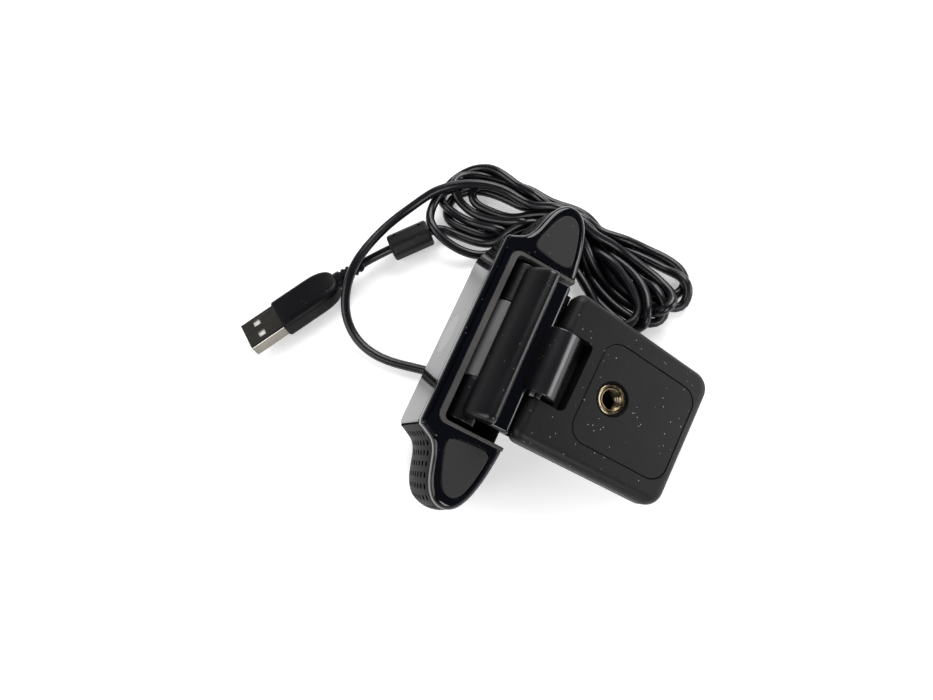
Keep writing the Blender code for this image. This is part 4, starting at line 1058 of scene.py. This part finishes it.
prof_r = [(0.4, 2.9), (1.5, 2.95), (2.6, 2.85)]
for k in range(4):
    z = 3.0 + k * 1.75
    r = 2.65 - 0.15 * k
    prof_r += [(z - 0.05, r - 0.42), (z + 0.45, r - 0.45), (z + 0.6, r - 0.02), (z + 1.5, r - 0.08)]
prof_r += [(10.2, 2.0), (10.6, 1.7)]
NR = 40
rel = loft([[(r * 0.86 * math.cos(2 * math.pi * k / NR) if z < 99 else 0,
              r * 1.06 * math.sin(2 * math.pi * k / NR), ML + z - 0.6) for k in range(NR)] for z, r in prof_r])
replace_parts(add("plug_relief_skin", on_plug(rel), PLUGM, world=True, smooth=40), "plug_relief")

fax = Vector(FER_AXIS)
FL = float(np.linalg.norm(FER_B - FER_A))
FM = Matrix.Translation((Vector(FER_A) + SHIFT) * MM) @ fax.to_track_quat("Z", "Y").to_matrix().to_4x4()
oct_ = rounded([(4.35 * math.cos(math.pi / 4 * (k + 0.5)) / math.cos(math.pi / 8),
                 4.35 * math.sin(math.pi / 4 * (k + 0.5)) / math.cos(math.pi / 8)) for k in range(8)], 2.6, 6)
fer = slab(oct_, 0.0, FL, 0.9, 0.9, 6)
inv = FM.inverted()
camv = (inv.to_3x3() @ Vector((0.10, 0.27, 0.95))).normalized()
side_ = Vector((-camv.y, camv.x, 0)).normalized()
if (inv.to_3x3() @ Vector((-0.55, -0.75, 0.0))).dot(side_) < 0:
    side_ = -side_
for zz in (2.7, FL - 2.7):
    dirn = (camv + side_ * 0.95)
    dirn.z = 0.0
    dirn.normalize()
    hole_ = pin(0.62, 3.3, 6.0, n=24)
    hole_.transform(Matrix.Translation(Vector((0, 0, zz)) * MM) @ dirn.to_track_quat("Z", "Y").to_matrix().to_4x4())
    fer = cut(fer, hole_)
fer.transform(FM)
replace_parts(add("ferrite_skin", soften(fer, 0.08, 60, 2), FERM, world=True, smooth=35), "ferrite_sleeve")

glm = slab(circle(0, 0, 2.3, 48), 0.0, 9.6, 0.35, 0.0, 4)
glm = cut(glm, pin(1.52, -1.0, 0.9, n=40))
glm.transform(Matrix.Translation((Vector(GLAND_FACE) + SHIFT) * MM) @ to_g)
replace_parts(add("gland_skin", glm, PLUGM, world=True, smooth=35), "cord_gland")

# rear cover keeps its CAD shape with rounded edges
refined("rear_cover", "rear_cover_skin", 0.3, GLOSS)

# ------------------------------------------------------------------ floor, light and camera
me = bpy.data.meshes.new("floor")
S = 12.0
me.from_pydata([(-S, -S, 0), (S, -S, 0), (S, S, 0), (-S, S, 0)], [], [(0, 1, 2, 3)])
floor = bpy.data.objects.new("floor", me)
COL.objects.link(floor)
fm = finish_mat("pale_floor", (0.86, 0.86, 0.865), 0.6, mottling=0.01, grain=300, bump=0.01)
for nd in fm.node_tree.nodes:
    if nd.type == "BSDF_PRINCIPLED":
        nd.inputs["Emission Color"].default_value = (1.0, 1.0, 1.0, 1)
        nd.inputs["Emission Strength"].default_value = 0.40
me.materials.append(fm)

world = bpy.data.worlds.new("studio")
bpy.context.scene.world = world
world.use_nodes = True
wt = world.node_tree
bg = wt.nodes["Background"]
bg.inputs["Strength"].default_value = 1.0
wc = wt.nodes.new("ShaderNodeTexCoord")
sep = wt.nodes.new("ShaderNodeSeparateXYZ")
wr = wt.nodes.new("ShaderNodeValToRGB")
wt.links.new(wc.outputs["Generated"], sep.inputs["Vector"])
wt.links.new(sep.outputs["Z"], wr.inputs["Fac"])
wt.links.new(wr.outputs["Color"], bg.inputs["Color"])
cr = wr.color_ramp
cr.elements[0].position = 0.0
cr.elements[0].color = (0.75, 0.75, 0.76, 1)
cr.elements[1].position = 0.55
cr.elements[1].color = (0.10, 0.10, 0.11, 1)
e = cr.elements.new(0.25)
e.color = (0.40, 0.40, 0.41, 1)


def area(name, loc, target, size, power, colour=(1, 1, 1), size_y=None):
    li = bpy.data.lights.new(name, "AREA")
    li.energy = power
    li.color = colour
    li.size = size
    if size_y:
        li.shape = "RECTANGLE"
        li.size_y = size_y
    ob = bpy.data.objects.new(name, li)
    COL.objects.link(ob)
    ob.location = loc
    d = Vector(target) - Vector(loc)
    ob.rotation_euler = d.to_track_quat("-Z", "Y").to_euler()
    return ob


area("key", (-1.10, -0.15, 0.95), (0, 0, 0), 1.0, 22.0)
area("low", (-0.45, 1.15, 0.36), (0, 0, 0.02), 0.55, 7.0)
area("fill", (0.75, -0.85, 0.95), (0, 0, 0), 1.0, 11.0)
area("back", (0.85, 0.80, 0.85), (0, 0, 0), 0.6, 9.0)

cam_data = bpy.data.cameras.new("camera_main")
cam = bpy.data.objects.new("camera_main", cam_data)
COL.objects.link(cam)
bpy.context.scene.camera = cam
cam_data.sensor_fit = "HORIZONTAL"
cam_data.sensor_width = 36.0
cam_data.lens = 704.6 / 933.0 * 36.0
cam_data.clip_start = 0.005
cam_data.clip_end = 20.0
ROWS = ((-0.40675, 0.90249, -0.14166), (0.88078, 0.34627, -0.32298), (-0.24243, -0.25614, -0.93575))
cx, cy, cz = (Vector(r) for r in ROWS)
rot = Matrix((cx, -cy, -cz)).transposed().to_4x4()
cam.matrix_world = Matrix.Translation(Vector((0.052647, 0.025592, 0.212872))) @ rot
scene = bpy.context.scene
scene.view_settings.view_transform = "Standard"
scene.view_settings.look = "None"
